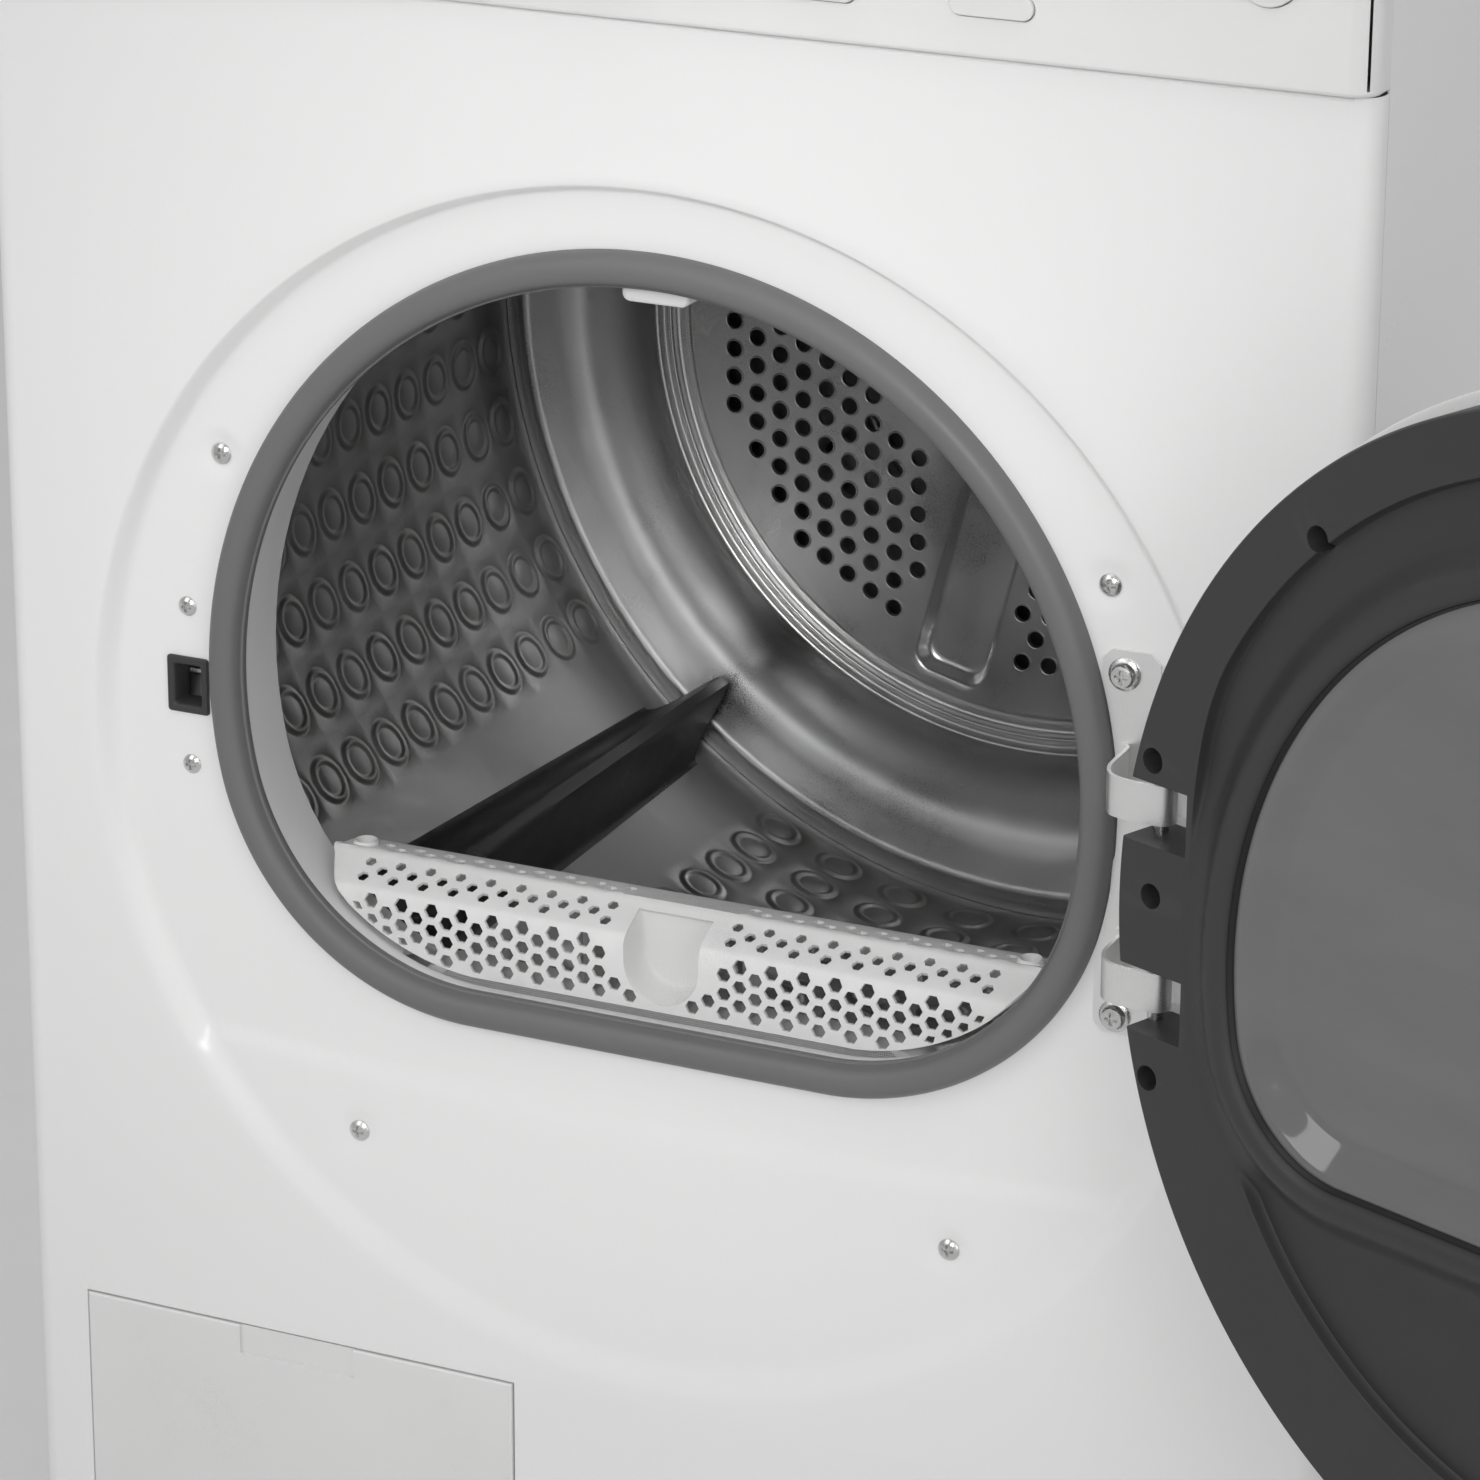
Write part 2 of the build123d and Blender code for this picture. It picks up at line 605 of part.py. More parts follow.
def front_screws():
    """Pan heads in the dish and round the strike, washer heads on the hinge plate."""
    screws = [pan_screw(x, z, 0) for x, z in DISH_SCREWS + STRIKE_SCREWS]
    for x, z in HINGE_SCREWS:
        washer = rod(6.5, -2.7, -1.5, x, OPENING_Z + z)
        head = slab(Pos(x, z) * RegularPolygon(4.4, 6), -5.2, -2.7)
        screws.append(washer + head + rod(1.9, -1.5, 14, x, OPENING_Z + z))
    return Compound(children=screws)


# ---- door, drawn shut ----


def hinge_notches(near, far, margin=0.0):
    """The two slots in the door's edge that the hinge arms work in."""
    half = NOTCH_HEIGHT / 2 + margin
    return [front_block(214, 256, near, far, rise - half, rise + half) for rise in ARM_RISES]


def door_inner_frame():
    frame = rod(DOOR_R, DOOR_BACK, DOOR_FACE, 0, DOOR_Z)
    frame = fillet(frame.faces().sort_by(Axis.Y)[-1].edges(), 2)
    frame += slab(glass_outline(COLLAR_W), -SEAL_PROUD - 12, -SEAL_PROUD - 0.5)
    frame -= slab(glass_outline(-2), -60, -SEAL_PROUD + 1)
    frame -= slab(glass_outline(GASKET_W), -20, -SEAL_PROUD + 1)
    frame -= rod(212, DOOR_BACK - 1, -24, 0, DOOR_Z)
    barrel = Pos(HINGE_X, DISH_Y + HINGE_DEPTH, OPENING_Z - 13) * Cylinder(6, 128)
    frame += barrel
    for notch in hinge_notches(-46, -8):
        frame -= notch
    pin_hole = Pos(HINGE_X, DISH_Y + HINGE_DEPTH, OPENING_Z - 11) * Cylinder(PIN_R + 0.02, 124)
    frame -= pin_hole
    for x, z in DOOR_SCREWS:
        frame -= rod(5.2, -30, 0, x, DOOR_Z + z)
        frame -= rod(2.1, -60, -29, x, DOOR_Z + z)
    return swung(frame)


def door_outer_ring():
    rim = lathe(
        (
            (DOOR_BACK, RIM_R - 2),
            (DOOR_BACK - 1.5, RIM_R),
            (DOOR_BACK - 5, RIM_R),
            (DOOR_BACK - 9, RIM_R - 3),
            (DOOR_BACK - 12, RIM_R - 9),
            (DOOR_FRONT, RIM_R - 18),
            (DOOR_FRONT, 199),
            (DOOR_FRONT + 6, 197),
            (DOOR_BACK, 212),
        ),
        0,
        DOOR_Z,
    )
    for notch in hinge_notches(-47, -30):
        rim -= notch
    grip_rise = DOOR_Z - OPENING_Z
    rim -= front_block(-RIM_R - 6, -RIM_R + 18, DOOR_BACK - 9, DOOR_BACK - 1, grip_rise - 42, grip_rise + 42)
    for x, z in DOOR_SCREWS:
        rim -= rod(1.9, -46, -30, x, DOOR_Z + z)
    return swung(rim)


def door_window_cover():
    cover = lathe(
        (
            (DOOR_FRONT - 3, 0),
            (DOOR_FRONT - 2.4, 80),
            (DOOR_FRONT - 1.2, 150),
            (DOOR_FRONT, 198.5),
            (DOOR_FRONT + 5.5, 196.5),
            (DOOR_FRONT + 2.6, 150),
            (DOOR_FRONT + 1.4, 80),
            (DOOR_FRONT + 0.8, 0),
        ),
        0,
        DOOR_Z,
    )
    return swung(cover)


def door_glass():
    """Shallow dish: a rim, a sloped band and a flat middle further from the drum."""
    rim = slab(glass_outline() - glass_outline(-6), -20, -16)
    outer = loft([front_plane(-20) * glass_outline(-5.9), front_plane(-30) * glass_outline(-24)])
    inner = loft([front_plane(-15.9) * glass_outline(-6), front_plane(-26) * glass_outline(-24)])
    return swung(rim + (outer - inner))


def glass_gasket():
    ring = slab(glass_outline(GASKET_W - 0.1) - glass_outline(0.1), -20, -12)
    lip = slab(glass_outline(GASKET_W - 0.1) - glass_outline(-3), -16, -13)
    return swung(ring + lip)


def latch_hook():
    x, rise = STRIKE_X, STRIKE_Z - OPENING_Z
    foot = front_block(x - 6, x + 10, DOOR_FACE, DOOR_FACE + 3, rise - 9, rise + 8)
    stalk = front_block(x - 3, x + 3, DOOR_FACE, 17, rise - 7, rise - 2.5)
    nose = front_block(x - 3, x + 3, 12.5, 17, rise - 7, rise + 0.6)
    hook = foot + stalk + fillet(nose.edges().filter_by(Axis.X).sort_by(Axis.Z)[-1:], 1.5)
    return swung(hook)


def door_screws():
    screws = []
    for x, z in DOOR_SCREWS:
        head = rod(4.6, -29, -26, x, DOOR_Z + z)
        screws.append(head + rod(1.8, -44, -29, x, DOOR_Z + z))
    return swung(Compound(children=screws))


def hinge_pin():
    pin = Pos(HINGE_X, DISH_Y + HINGE_DEPTH, OPENING_Z - 12) * Cylinder(PIN_R, 120)
    return swung(pin)


# ---- drum ----


def drum_shell():
    outer = DRUM_R + DRUM_SHEET
    return lathe(
        (
            (DRUM_FRONT, DRUM_R),
            (DRUM_FRONT, outer),
            (DRUM_REAR, outer),
            (DRUM_REAR, DRUM_R),
        )
    )


def drum_back():
    """Dished end with a flat centre plate and a hub for the shaft."""
    sheet = 1.0
    front = (
        (DRUM_REAR - 1, DRUM_R - 0.2),
        (DRUM_REAR - 1, BACK_SEAM_R + 3),
        (405, BACK_SEAM_R),
        (412, 250),
        (410, 215),
        (398, BACK_RING_R),
        (401, 187),
        (BACK_PLATE_DEPTH, BACK_PLATE_R),
        (BACK_PLATE_DEPTH, 0),
    )
    back = (
        (BACK_PLATE_DEPTH + sheet, 0),
        (BACK_PLATE_DEPTH + sheet, BACK_PLATE_R),
        (401 + sheet, 187.6),
        (398 + sheet, BACK_RING_R + 1),
        (410 + sheet, 214.5),
        (412 + sheet, 251),
        (405 + sheet, BACK_SEAM_R - 0.7),
        (DRUM_REAR, BACK_SEAM_R + 2.3),
        (DRUM_REAR, DRUM_R - 0.2),
    )
    return lathe(front + back)


def lifter(angle):
    """A hollow ridge along the drum wall, highest at the back."""
    near, far = DRUM_FRONT + 15, 396.0
    wall_r = DRUM_R - 0.6

    def section(depth, height, half_foot, half_top):
        plane = Plane(origin=(0, DISH_Y + depth, DRUM_Z), x_dir=(-1, 0, 0), z_dir=(0, 1, 0))
        drop = sqrt(wall_r**2 - half_foot**2)
        outline = Polyline(
            (-half_foot, -drop),
            (-half_top, -wall_r + height),
            (half_top, -wall_r + height),
            (half_foot, -drop),
            close=True,
        )
        return plane * make_face(outline)

    ends = [section(near, LIFTER_HEIGHT - 8, 30, 7), section(far, LIFTER_HEIGHT, 19, 4)]
    body = loft(ends)
    ends = [section(near + 2, LIFTER_HEIGHT - 11, 26, 4.5), section(far - 2, LIFTER_HEIGHT - 3, 15.5, 2)]
    body -= Pos(0, 0, -3.5) * loft(ends)
    body = body & rod(wall_r, 0, 420, 0, DRUM_Z)
    return body.rotate(Axis((0, 0, DRUM_Z), (0, 1, 0)), 270 - angle)


def drum_shaft():
    flange = rod(60, BACK_PLATE_DEPTH + 1, BACK_PLATE_DEPTH + 4, 0, DRUM_Z)
    return flange + rod(SHAFT_R, BACK_PLATE_DEPTH + 3, 494, 0, DRUM_Z)


def rear_bearing():
    near = REAR_Y - DISH_Y
    body = rod(22, near - 12, near + 6, 0, DRUM_Z) + rod(34, near - 3, near, 0, DRUM_Z)
    return body - rod(SHAFT_R + RUNNING_GAP, near - 20, near + 20, 0, DRUM_Z)


def heater():
    near = REAR_Y + 22 - DISH_Y
    coils = []
    for radius in (150, 138, 126):
        ring = Torus(radius, 3)
        plane = Plane(origin=(0, DISH_Y + near, DRUM_Z), x_dir=(1, 0, 0), z_dir=(0, -1, 0))
        coils.append(plane * ring)
    shape = coils[0] + coils[1] + coils[2]
    for angle in (54, 126, 234, 306):
        post = block(120, 156, REAR_Y + 1, REAR_Y + 26, DRUM_Z - 5, DRUM_Z + 5)
        shape += post.rotate(Axis((0, 0, DRUM_Z), (0, 1, 0)), angle)
    return shape


# ---- support rollers and drive ----


def roller_centres():
    reach = DRUM_R + DRUM_SHEET + ROLLER_GAP + ROLLER_R
    angle = radians(ROLLER_ANGLE)
    return [(side * reach * sin(angle), DRUM_Z - reach * cos(angle)) for side in (-1, 1)]


def support_roller(index):
    x, z = roller_centres()[index]
    roller = ring_bar(ROLLER_R, AXLE_R + RUNNING_GAP, 52, 66, x, z)
    groove = ring_bar(ROLLER_R - 4, 8, 51, 54, x, z) + ring_bar(ROLLER_R - 4, 8, 64, 67, x, z)
    return roller - groove


def roller_axles():
    pins = []
    for x, z in roller_centres():
        pin = rod(AXLE_R, 34, 70, x, z) + rod(7, 67, 70, x, z) + rod(7, 40, 44, x, z)
        pins.append(pin)
    return Compound(children=pins)


def motor_centre():
    return MOTOR_X, MOTOR_Z


def motor_housing():
    x, z = motor_centre()
    near = BELT_DEPTH + 26
    body = rod(MOTOR_R, near, near + 120, x, z)
    body = fillet(body.faces().sort_by(Axis.Y)[0].edges() + body.faces().sort_by(Axis.Y)[-1].edges(), 6)
    for index in range(12):
        angle = radians(30 * index + 15)
        body -= rod(5, near - 1, near + 6, x + 38 * cos(angle), z + 38 * sin(angle))
    for y0 in (near + 18, near + 92):
        foot = block(x - 50, x + 50, DISH_Y + y0, DISH_Y + y0 + 12, FOOT_H + 3, z - 30)
        body += foot
    return body - rod(6.5, near - 5, near + 130, x, z)


def motor_rotor():
    x, z = motor_centre()
    shaft = rod(6, BELT_DEPTH - 12, BELT_DEPTH + 212, x, z)
    half = BELT_W / 2
    pulley = rod(PULLEY_R, BELT_DEPTH - half, BELT_DEPTH + half, x, z)
    for end in (-1, 1):
        edge = BELT_DEPTH + end * (half + 1.5)
        pulley += rod(PULLEY_R + 4, edge - 1, edge + 1, x, z)
    return shaft + pulley


def process_fan():
    x, z = motor_centre()
    near, far = BELT_DEPTH + 162, BELT_DEPTH + 198
    fan = rod(70, far - 3, far, x, z) + rod(14, near, far, x, z)
    for index in range(18):
        blade = block(x + 42, x + 69, DISH_Y + near, DISH_Y + far, z - 1, z + 1)
        fan += blade.rotate(Axis((x, 0, z), (0, 1, 0)), 20 * index)
    fan += ring_bar(70, 64, near, near + 3, x, z)
    return fan - rod(6.02, near - 1, far + 1, x, z)


def fan_housing():
    x, z = motor_centre()
    near, far = BELT_DEPTH + 154, BELT_DEPTH + 206
    rear = REAR_Y - DISH_Y
    body = rod(82, near, far, x, z) + slab(Pos(x, 57) * Rectangle(76, 58), far - 3, rear, z)
    base = slab(Pos(x, -88) * Rectangle(110, 24), near, far, z)
    body += base
    body -= rod(76, near + 2.5, far - 2.5, x, z)
    body -= slab(Pos(x, 57) * Rectangle(71, 53), far - 4, rear + 1, z) & rod(75, near, rear + 1, x, z)
    body -= slab(Pos(x, 57) * Rectangle(71, 53), far + 1, rear + 1, z)
    body -= rod(40, near - 1, near + 4, x, z)
    return body - rod(9, far - 4, far + 1, x, z)


def belt_directions():
    """Unit vectors along the belt's left run and outwards from it, in the front view."""
    dx, dz = -MOTOR_X, DRUM_Z - MOTOR_Z
    span = sqrt(dx * dx + dz * dz)
    rise = (DRUM_R + DRUM_SHEET - PULLEY_R) / span
    flat = sqrt(1 - rise * rise)
    ux, uz = dx / span, dz / span
    along = (ux * flat - uz * rise, uz * flat + ux * rise)
    return along, (-along[1], along[0])


def idler_centre():
    along, outward = belt_directions()
    reach = PULLEY_R + BELT_GAP + BELT_T + ROLLER_GAP + IDLER_R
    x = MOTOR_X + along[0] * IDLER_ALONG + outward[0] * reach
    return x, MOTOR_Z + along[1] * IDLER_ALONG + outward[1] * reach


def belt_loop(offset, half_w):
    """The space inside the belt, grown by offset from the drum and the pulley."""
    big = DRUM_R + DRUM_SHEET + offset
    small = PULLEY_R + offset
    circles = Circle(big) + Pos(MOTOR_X, MOTOR_Z - DRUM_Z) * Circle(small)
    loop = make_hull(circles.edges())
    return slab(loop, BELT_DEPTH - half_w, BELT_DEPTH + half_w, DRUM_Z)


def drum_belt():
    half = BELT_W / 2 - 0.5
    return belt_loop(BELT_GAP + BELT_T, half) - belt_loop(BELT_GAP, half + 1)


def idler_arm():
    x, z = idler_centre()
    near = BELT_DEPTH + BELT_W / 2 + 1
    strip = make_hull((Pos(x, z) * Circle(8) + Pos(IDLER_PIVOT_X, IDLER_PIVOT_Z) * Circle(9)).edges())
    arm_plate = slab(strip, near, near + 3, 0)
    pin = rod(AXLE_R, BELT_DEPTH - BELT_W / 2 - 2, near + 1, x, z)
    pin += rod(6, BELT_DEPTH - BELT_W / 2 - 4, BELT_DEPTH - BELT_W / 2 - 2, x, z)
    pivot = rod(AXLE_R, BELT_DEPTH - 4, near + 18, IDLER_PIVOT_X, IDLER_PIVOT_Z)
    return arm_plate + pin + pivot


def idler_roller():
    x, z = idler_centre()
    half = BELT_W / 2
    return ring_bar(IDLER_R, AXLE_R + RUNNING_GAP, BELT_DEPTH - half, BELT_DEPTH + half, x, z)


def idler_spring():
    near = BELT_DEPTH + BELT_W / 2 - 7
    turns = []
    for index in range(4):
        depth = near + 2.1 * index
        plane = Plane(origin=(IDLER_PIVOT_X, DISH_Y + depth, IDLER_PIVOT_Z), z_dir=(0, 1, 0))
        turns.append(plane * Torus(7, 1))
    return Compound(children=turns)


# ---- air and water ----


def heat_exchanger():
    """Finned block on two runners, with a flange that seals behind the flap."""
    x0, x1, y0, y1, z0, z1 = FLAP_LEFT + 4, FLAP_RIGHT + 8, FRONT_Y + 30, 110, FOOT_H + 29, 150
    core = block(x0, x1, y0, y1, z0, z1)
    core += block(x0 - 3, x1 + 3, y0 - 6, y0, z0 - 3, z1 + 3)
    fin_pitch, fin = 11.5, 1.8
    for index in range(27):
        y = y0 + 6 + index * fin_pitch
        core -= block(x0 + 4, x1 - 4, y, y + fin_pitch - fin, z0 + 4, z1 + 1)
    for x in (x0 + 50, x1 - 50):
        core += block(x - 8, x + 8, y0 + 20, y1 - 20, FOOT_H + 3, z0)
    return core


def drain_pump():
    x, y, z = SPIGOT_X, 190, FOOT_H + 3
    body = Pos(x, y, z + 25) * Cylinder(28, 50)
    body += block(x - 32, x + 32, y - 18, y + 18, z, z + 12)
    near = REAR_Y - DISH_Y
    body += Pos(x, y, 90) * Cylinder(8, 44)
    body += rod(4.8, near - 60, near + 1, x, SPIGOT_Z) + rod(SPIGOT_R, near + 1, near + 20, x, SPIGOT_Z)
    return body - rod(3.5, near - 50, near + 21, x, SPIGOT_Z)


PARTS = {
    "base_pan": base_pan,
    "levelling_feet": levelling_feet,
    "left_side_panel": lambda: side_panel(-1),
    "right_side_panel": lambda: side_panel(1),
    "front_panel": front_panel,
    "worktop": worktop,
    "rear_panel": rear_panel,
    "rear_duct_cover": rear_duct_cover,
    "mains_inlet": mains_inlet,
    "control_fascia": control_fascia,
    "display_window": display_window,
    "programme_knob": programme_knob,
    "water_container": water_container,
    "container_front": container_front,
    "container_tray": container_tray,
    "service_flap": service_flap,
    "flap_pins": flap_pins,
    "front_bulkhead": front_bulkhead,
    "door_seal": door_seal,
    "drum_felt": drum_felt,
    "lamp_lens": lamp_lens,
    "filter_cassette": filter_cassette,
    "filter_housing": filter_housing,
    "strike_socket": strike_socket,
    "latch_catch": latch_catch,
    "hinge_plate": hinge_plate,
    "front_screws": front_screws,
    "door_inner_frame": door_inner_frame,
    "door_outer_ring": door_outer_ring,
    "door_window_cover": door_window_cover,
    "door_glass": door_glass,
    "glass_gasket": glass_gasket,
    "latch_hook": latch_hook,
    "door_screws": door_screws,
    "hinge_pin": hinge_pin,
    "drum_shell": drum_shell,
    "drum_back": drum_back,
    "drum_shaft": drum_shaft,
    "rear_bearing": rear_bearing,
    "heater": heater,
    "support_roller_left": lambda: support_roller(0),
    "support_roller_right": lambda: support_roller(1),
    "roller_axles": roller_axles,
    "motor_housing": motor_housing,
    "motor_rotor": motor_rotor,
    "process_fan": process_fan,
    "fan_housing": fan_housing,
    "drum_belt": drum_belt,
    "idler_arm": idler_arm,
    "idler_roller": idler_roller,
    "idler_spring": idler_spring,
    "heat_exchanger": heat_exchanger,
    "drain_pump": drain_pump,
}
for number, lifter_angle in enumerate(LIFTER_ANGLES, start=1):
    PARTS[f"lifter_{number}"] = lambda a=lifter_angle: lifter(a)
for button_name in BUTTON_SPOTS:
    PARTS[button_name] = lambda n=button_name: button(n)


def main():
    os.makedirs("parts", exist_ok=True)
    for old in os.listdir("parts"):
        if old.endswith(".step") and old[:-5] not in PARTS:
            os.remove(os.path.join("parts", old))
    for name, make in PARTS.items():
        export_step(make(), f"parts/{name}.step")


main()
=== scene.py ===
"""Looks of a front-loading clothes dryer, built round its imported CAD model.

Blender works in metres. The helpers take millimetres: x across, depth behind the dish floor, and rise above
the centre of the loading opening.
"""

import json
from itertools import accumulate
from math import atan2, cos, degrees, exp, hypot, pi, radians, sin, sqrt

import bmesh
import bpy
import numpy as np
from mathutils import Matrix, Vector, geometry


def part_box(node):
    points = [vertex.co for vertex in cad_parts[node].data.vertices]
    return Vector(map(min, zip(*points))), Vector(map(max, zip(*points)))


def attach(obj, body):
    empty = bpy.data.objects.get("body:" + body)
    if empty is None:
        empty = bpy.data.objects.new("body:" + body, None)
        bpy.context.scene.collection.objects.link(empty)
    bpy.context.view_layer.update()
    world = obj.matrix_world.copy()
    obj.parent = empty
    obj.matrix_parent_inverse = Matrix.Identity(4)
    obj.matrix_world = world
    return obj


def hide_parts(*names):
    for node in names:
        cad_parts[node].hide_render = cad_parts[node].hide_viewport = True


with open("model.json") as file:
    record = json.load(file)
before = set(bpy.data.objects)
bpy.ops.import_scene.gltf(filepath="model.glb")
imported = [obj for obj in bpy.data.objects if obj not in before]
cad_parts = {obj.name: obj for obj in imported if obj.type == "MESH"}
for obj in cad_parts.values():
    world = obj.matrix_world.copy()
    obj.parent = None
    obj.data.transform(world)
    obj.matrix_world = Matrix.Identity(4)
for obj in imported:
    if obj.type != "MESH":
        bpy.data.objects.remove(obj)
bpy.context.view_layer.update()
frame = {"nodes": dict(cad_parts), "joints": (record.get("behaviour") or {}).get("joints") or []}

MM = 0.001
WELD = 0.00001
SPLIT_DEG = 38
SOFT_EDGE_DEG = 50
SCENE = bpy.context.scene

# ---- driving sizes, in millimetres, read from the frame where a node carries them ----

seal_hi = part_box("door_seal")[1]
DISH_Y = seal_hi.y
SEAL_R = seal_hi.x / MM
SEAL_FLAT = 137.0
SEAL_CORNER = 120.0
OPENING_Z = seal_hi.z - seal_hi.x

drum_lo, drum_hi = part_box("drum_shell")
DRUM_SHEET = 0.8
DRUM_R = drum_hi.x / MM - DRUM_SHEET
DRUM_RISE = ((drum_lo.z + drum_hi.z) / 2 - OPENING_Z) / MM
DRUM_NEAR = (drum_lo.y - DISH_Y) / MM
DRUM_FAR = (drum_hi.y - DISH_Y) / MM

panel_lo, panel_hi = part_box("front_panel")
HALF_W = panel_hi.x / MM
SKIN = (panel_lo.y - DISH_Y) / MM
PANEL_TOP = (panel_hi.z - OPENING_Z) / MM
PANEL_BOTTOM = (panel_lo.z - OPENING_Z) / MM

DOOR_JOINT = next(j for j in frame["joints"] if j["name"] == "door_hinge")
HINGE = DOOR_JOINT["pos_m"]
HINGE_X = HINGE[0] / MM
HINGE_DEPTH = (HINGE[1] - DISH_Y) / MM
DOOR_OPEN = radians(-DOOR_JOINT["range_deg"][0])
DOOR_RISE = -13.0
DOOR_R = 239.0
CAVITY_R = 213.0
DOOR_FACE = -15.5
DOOR_BACK = -40.0
DOOR_FRONT = -54.0
RIM_R = 244.0
GLASS_RISE = -20.0
GLASS_R = 182.0
GLASS_FLAT = 80.0
GLASS_CORNER = 58.0

FLAP_HEEL_GAP = 1.75

DISH_SCREWS = ((196, 94), (-196, 94), (135.5, -195), (-135.5, -195))
STRIKE_SCREWS = ((-213.5, 26), (-213.5, -43.5))
HINGE_SCREWS = ((204, 60), (204, -81))
DOOR_SCREWS = ((146, 163), (223, 58), (222, 4), (221, -70), (-146, 163), (-223, 58), (-221, -70))
LIFTER_ANGLES = (229.35, 109.35, 349.35)


# ---- geometry helpers ----


def at(x, depth, rise):
    """Row-frame point, in metres."""
    return Vector((x * MM, DISH_Y + depth * MM, OPENING_Z + rise * MM))


def smooth_step(t):
    t = min(max(t, 0.0), 1.0)
    return t * t * (3 - 2 * t)


def door_turn():
    """Carries a point of the shut door to where it rests, swung open."""
    pivot = Matrix.Translation(Vector((HINGE[0], HINGE[1], 0)))
    return pivot @ Matrix.Rotation(DOOR_OPEN, 4, "Z") @ pivot.inverted()


def mesh_of(name, shape, turn=None, mend=True):
    """A shape's mesh, its doubled points joined and, if mend is set, its faces turned outwards."""
    mesh = bpy.data.meshes.new(name)
    mesh.from_pydata([tuple(v) for v in shape.verts], [], shape.faces)
    if turn is not None:
        mesh.transform(turn)
    edit = bmesh.new()
    edit.from_mesh(mesh)
    bmesh.ops.remove_doubles(edit, verts=edit.verts, dist=WELD)
    if mend:
        bmesh.ops.recalc_face_normals(edit, faces=edit.faces)
    edit.to_mesh(mesh)
    edit.free()
    return mesh


def build(name, shape, material, body, nodes=(), crease=35, turn=None, mend=True):
    """A mesh object that rides on a body, smooth but for edges sharper than crease degrees."""
    mesh = mesh_of(name, shape, turn, mend)
    mesh.shade_smooth()
    mesh.set_sharp_from_angle(angle=radians(crease))
    mesh.materials.append(material)
    piece = bpy.data.objects.new(name, mesh)
    SCENE.collection.objects.link(piece)
    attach(piece, body)
    if nodes:
        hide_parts(*nodes)
    return piece


def door_piece(name, shape, material, node, crease):
    """A piece of the door, drawn shut and swung to where it rests."""
    return build(name, shape, material, "door", [node], crease, door_turn())


def thicken(piece, millimetres, offset):
    """Gives a sheet its thickness, with sharp edges."""
    solid = piece.modifiers.new("thickness", "SOLIDIFY")
    solid.thickness = millimetres * MM
    solid.offset = offset
    solid.use_even_offset = True
    split = piece.modifiers.new("sharp", "EDGE_SPLIT")
    split.split_angle = radians(SPLIT_DEG)
    return piece


def soften(piece, millimetres):
    edge = piece.modifiers.new("edges", "BEVEL")
    edge.width = millimetres * MM
    edge.segments = 2
    edge.limit_method = "ANGLE"
    edge.angle_limit = radians(SOFT_EDGE_DEG)
    edge.harden_normals = False
    return piece


class Mesh:
    """Gathers vertices and faces from several patches."""

    def __init__(self):
        self.verts = []
        self.faces = []

    def rows(self, rows, closed=True, loop=False):
        """Quads between rows of points. closed joins a row's ends, loop joins the last row to the first."""
        start, n = len(self.verts), len(rows[0])
        for row in rows:
            self.verts.extend(row)
        for r in range(len(rows) if loop else len(rows) - 1):
            for c in range(n if closed else n - 1):
                a, b = start + r * n, start + ((r + 1) % len(rows)) * n
                d = (c + 1) % n
                self.faces.append((a + c, a + d, b + d, b + c))
        return self

    def fan(self, row, centre):
        start = len(self.verts)
        self.verts.extend([*row, centre])
        n = len(row)
        for c in range(n):
            self.faces.append((start + c, start + (c + 1) % n, start + n))
        return self

    def cap(self, row):
        start = len(self.verts)
        self.verts.extend(row)
        self.faces.append(tuple(range(start, start + len(row))))
        return self

    def add(self, verts, faces):
        start = len(self.verts)
        self.verts.extend(verts)
        self.faces.extend(tuple(start + i for i in face) for face in faces)
        return self


def polygon(radius, count):
    turns = [2 * pi * k / count for k in range(count)]
    return [(radius * cos(a), radius * sin(a)) for a in turns]


def circle_row(radius, depth, x=0.0, rise=0.0, count=64):
    return [at(x + u, depth, rise + v) for u, v in polygon(radius, count)]


def rounded_box(x0, x1, z0, z1, corner, steps):
    """Outline of a rectangle with round corners."""
    left, right, low, high = x0 + corner, x1 - corner, z0 + corner, z1 - corner
    middles = ((right, high), (left, high), (left, low), (right, low))
    points = []
    for quarter, (x, z) in enumerate(middles):
        for k in range(steps + 1):
            a = radians(90 * quarter + 90 * k / steps)
            points.append((x + corner * cos(a), z + corner * sin(a)))
    return points


def frame_loop(x0, x1, z0, z1, corner, depth, steps=5):
    return [at(x, depth, z) for x, z in rounded_box(x0, x1, z0, z1, corner, steps)]


def turned(profile, x=0.0, rise=0.0, count=64):
    """Rings for a list of (depth, radius) about a line along Y."""
    return [circle_row(max(radius, 0.01), depth, x, rise, count) for depth, radius in profile]


def d_spine(radius, flat, corner, count, rise=0.0):
    """Samples round a D: arc centre (x, rise), outward direction and radius, evenly spaced."""
    drop = flat - corner
    reach = sqrt((radius - corner) ** 2 - drop**2)
    turn = atan2(-drop, reach)
    spans = [
        (0.0, 0.0, radius, turn, pi - turn),
        (-reach, -drop, corner, pi - turn, 1.5 * pi),
        None,
        (reach, -drop, corner, -pi / 2, turn),
    ]
    lengths = [2 * reach if s is None else s[2] * (s[4] - s[3]) for s in spans]
    total = sum(lengths)
    spine = []
    for i in range(count):
        s, k = total * i / count, 0
        while s > lengths[k]:
            s -= lengths[k]
            k += 1
        if spans[k] is None:
            spine.append((-reach + s, -drop + rise, 0.0, -1.0, corner))
            continue
        cx, cz, r, a0, a1 = spans[k]
        a = a0 + (a1 - a0) * s / lengths[k]
        spine.append((cx, cz + rise, cos(a), sin(a), r))
    return spine


def d_point(sample, offset):
    cx, cz, nx, nz, r = sample
    return cx + nx * (r + offset), cz + nz * (r + offset)


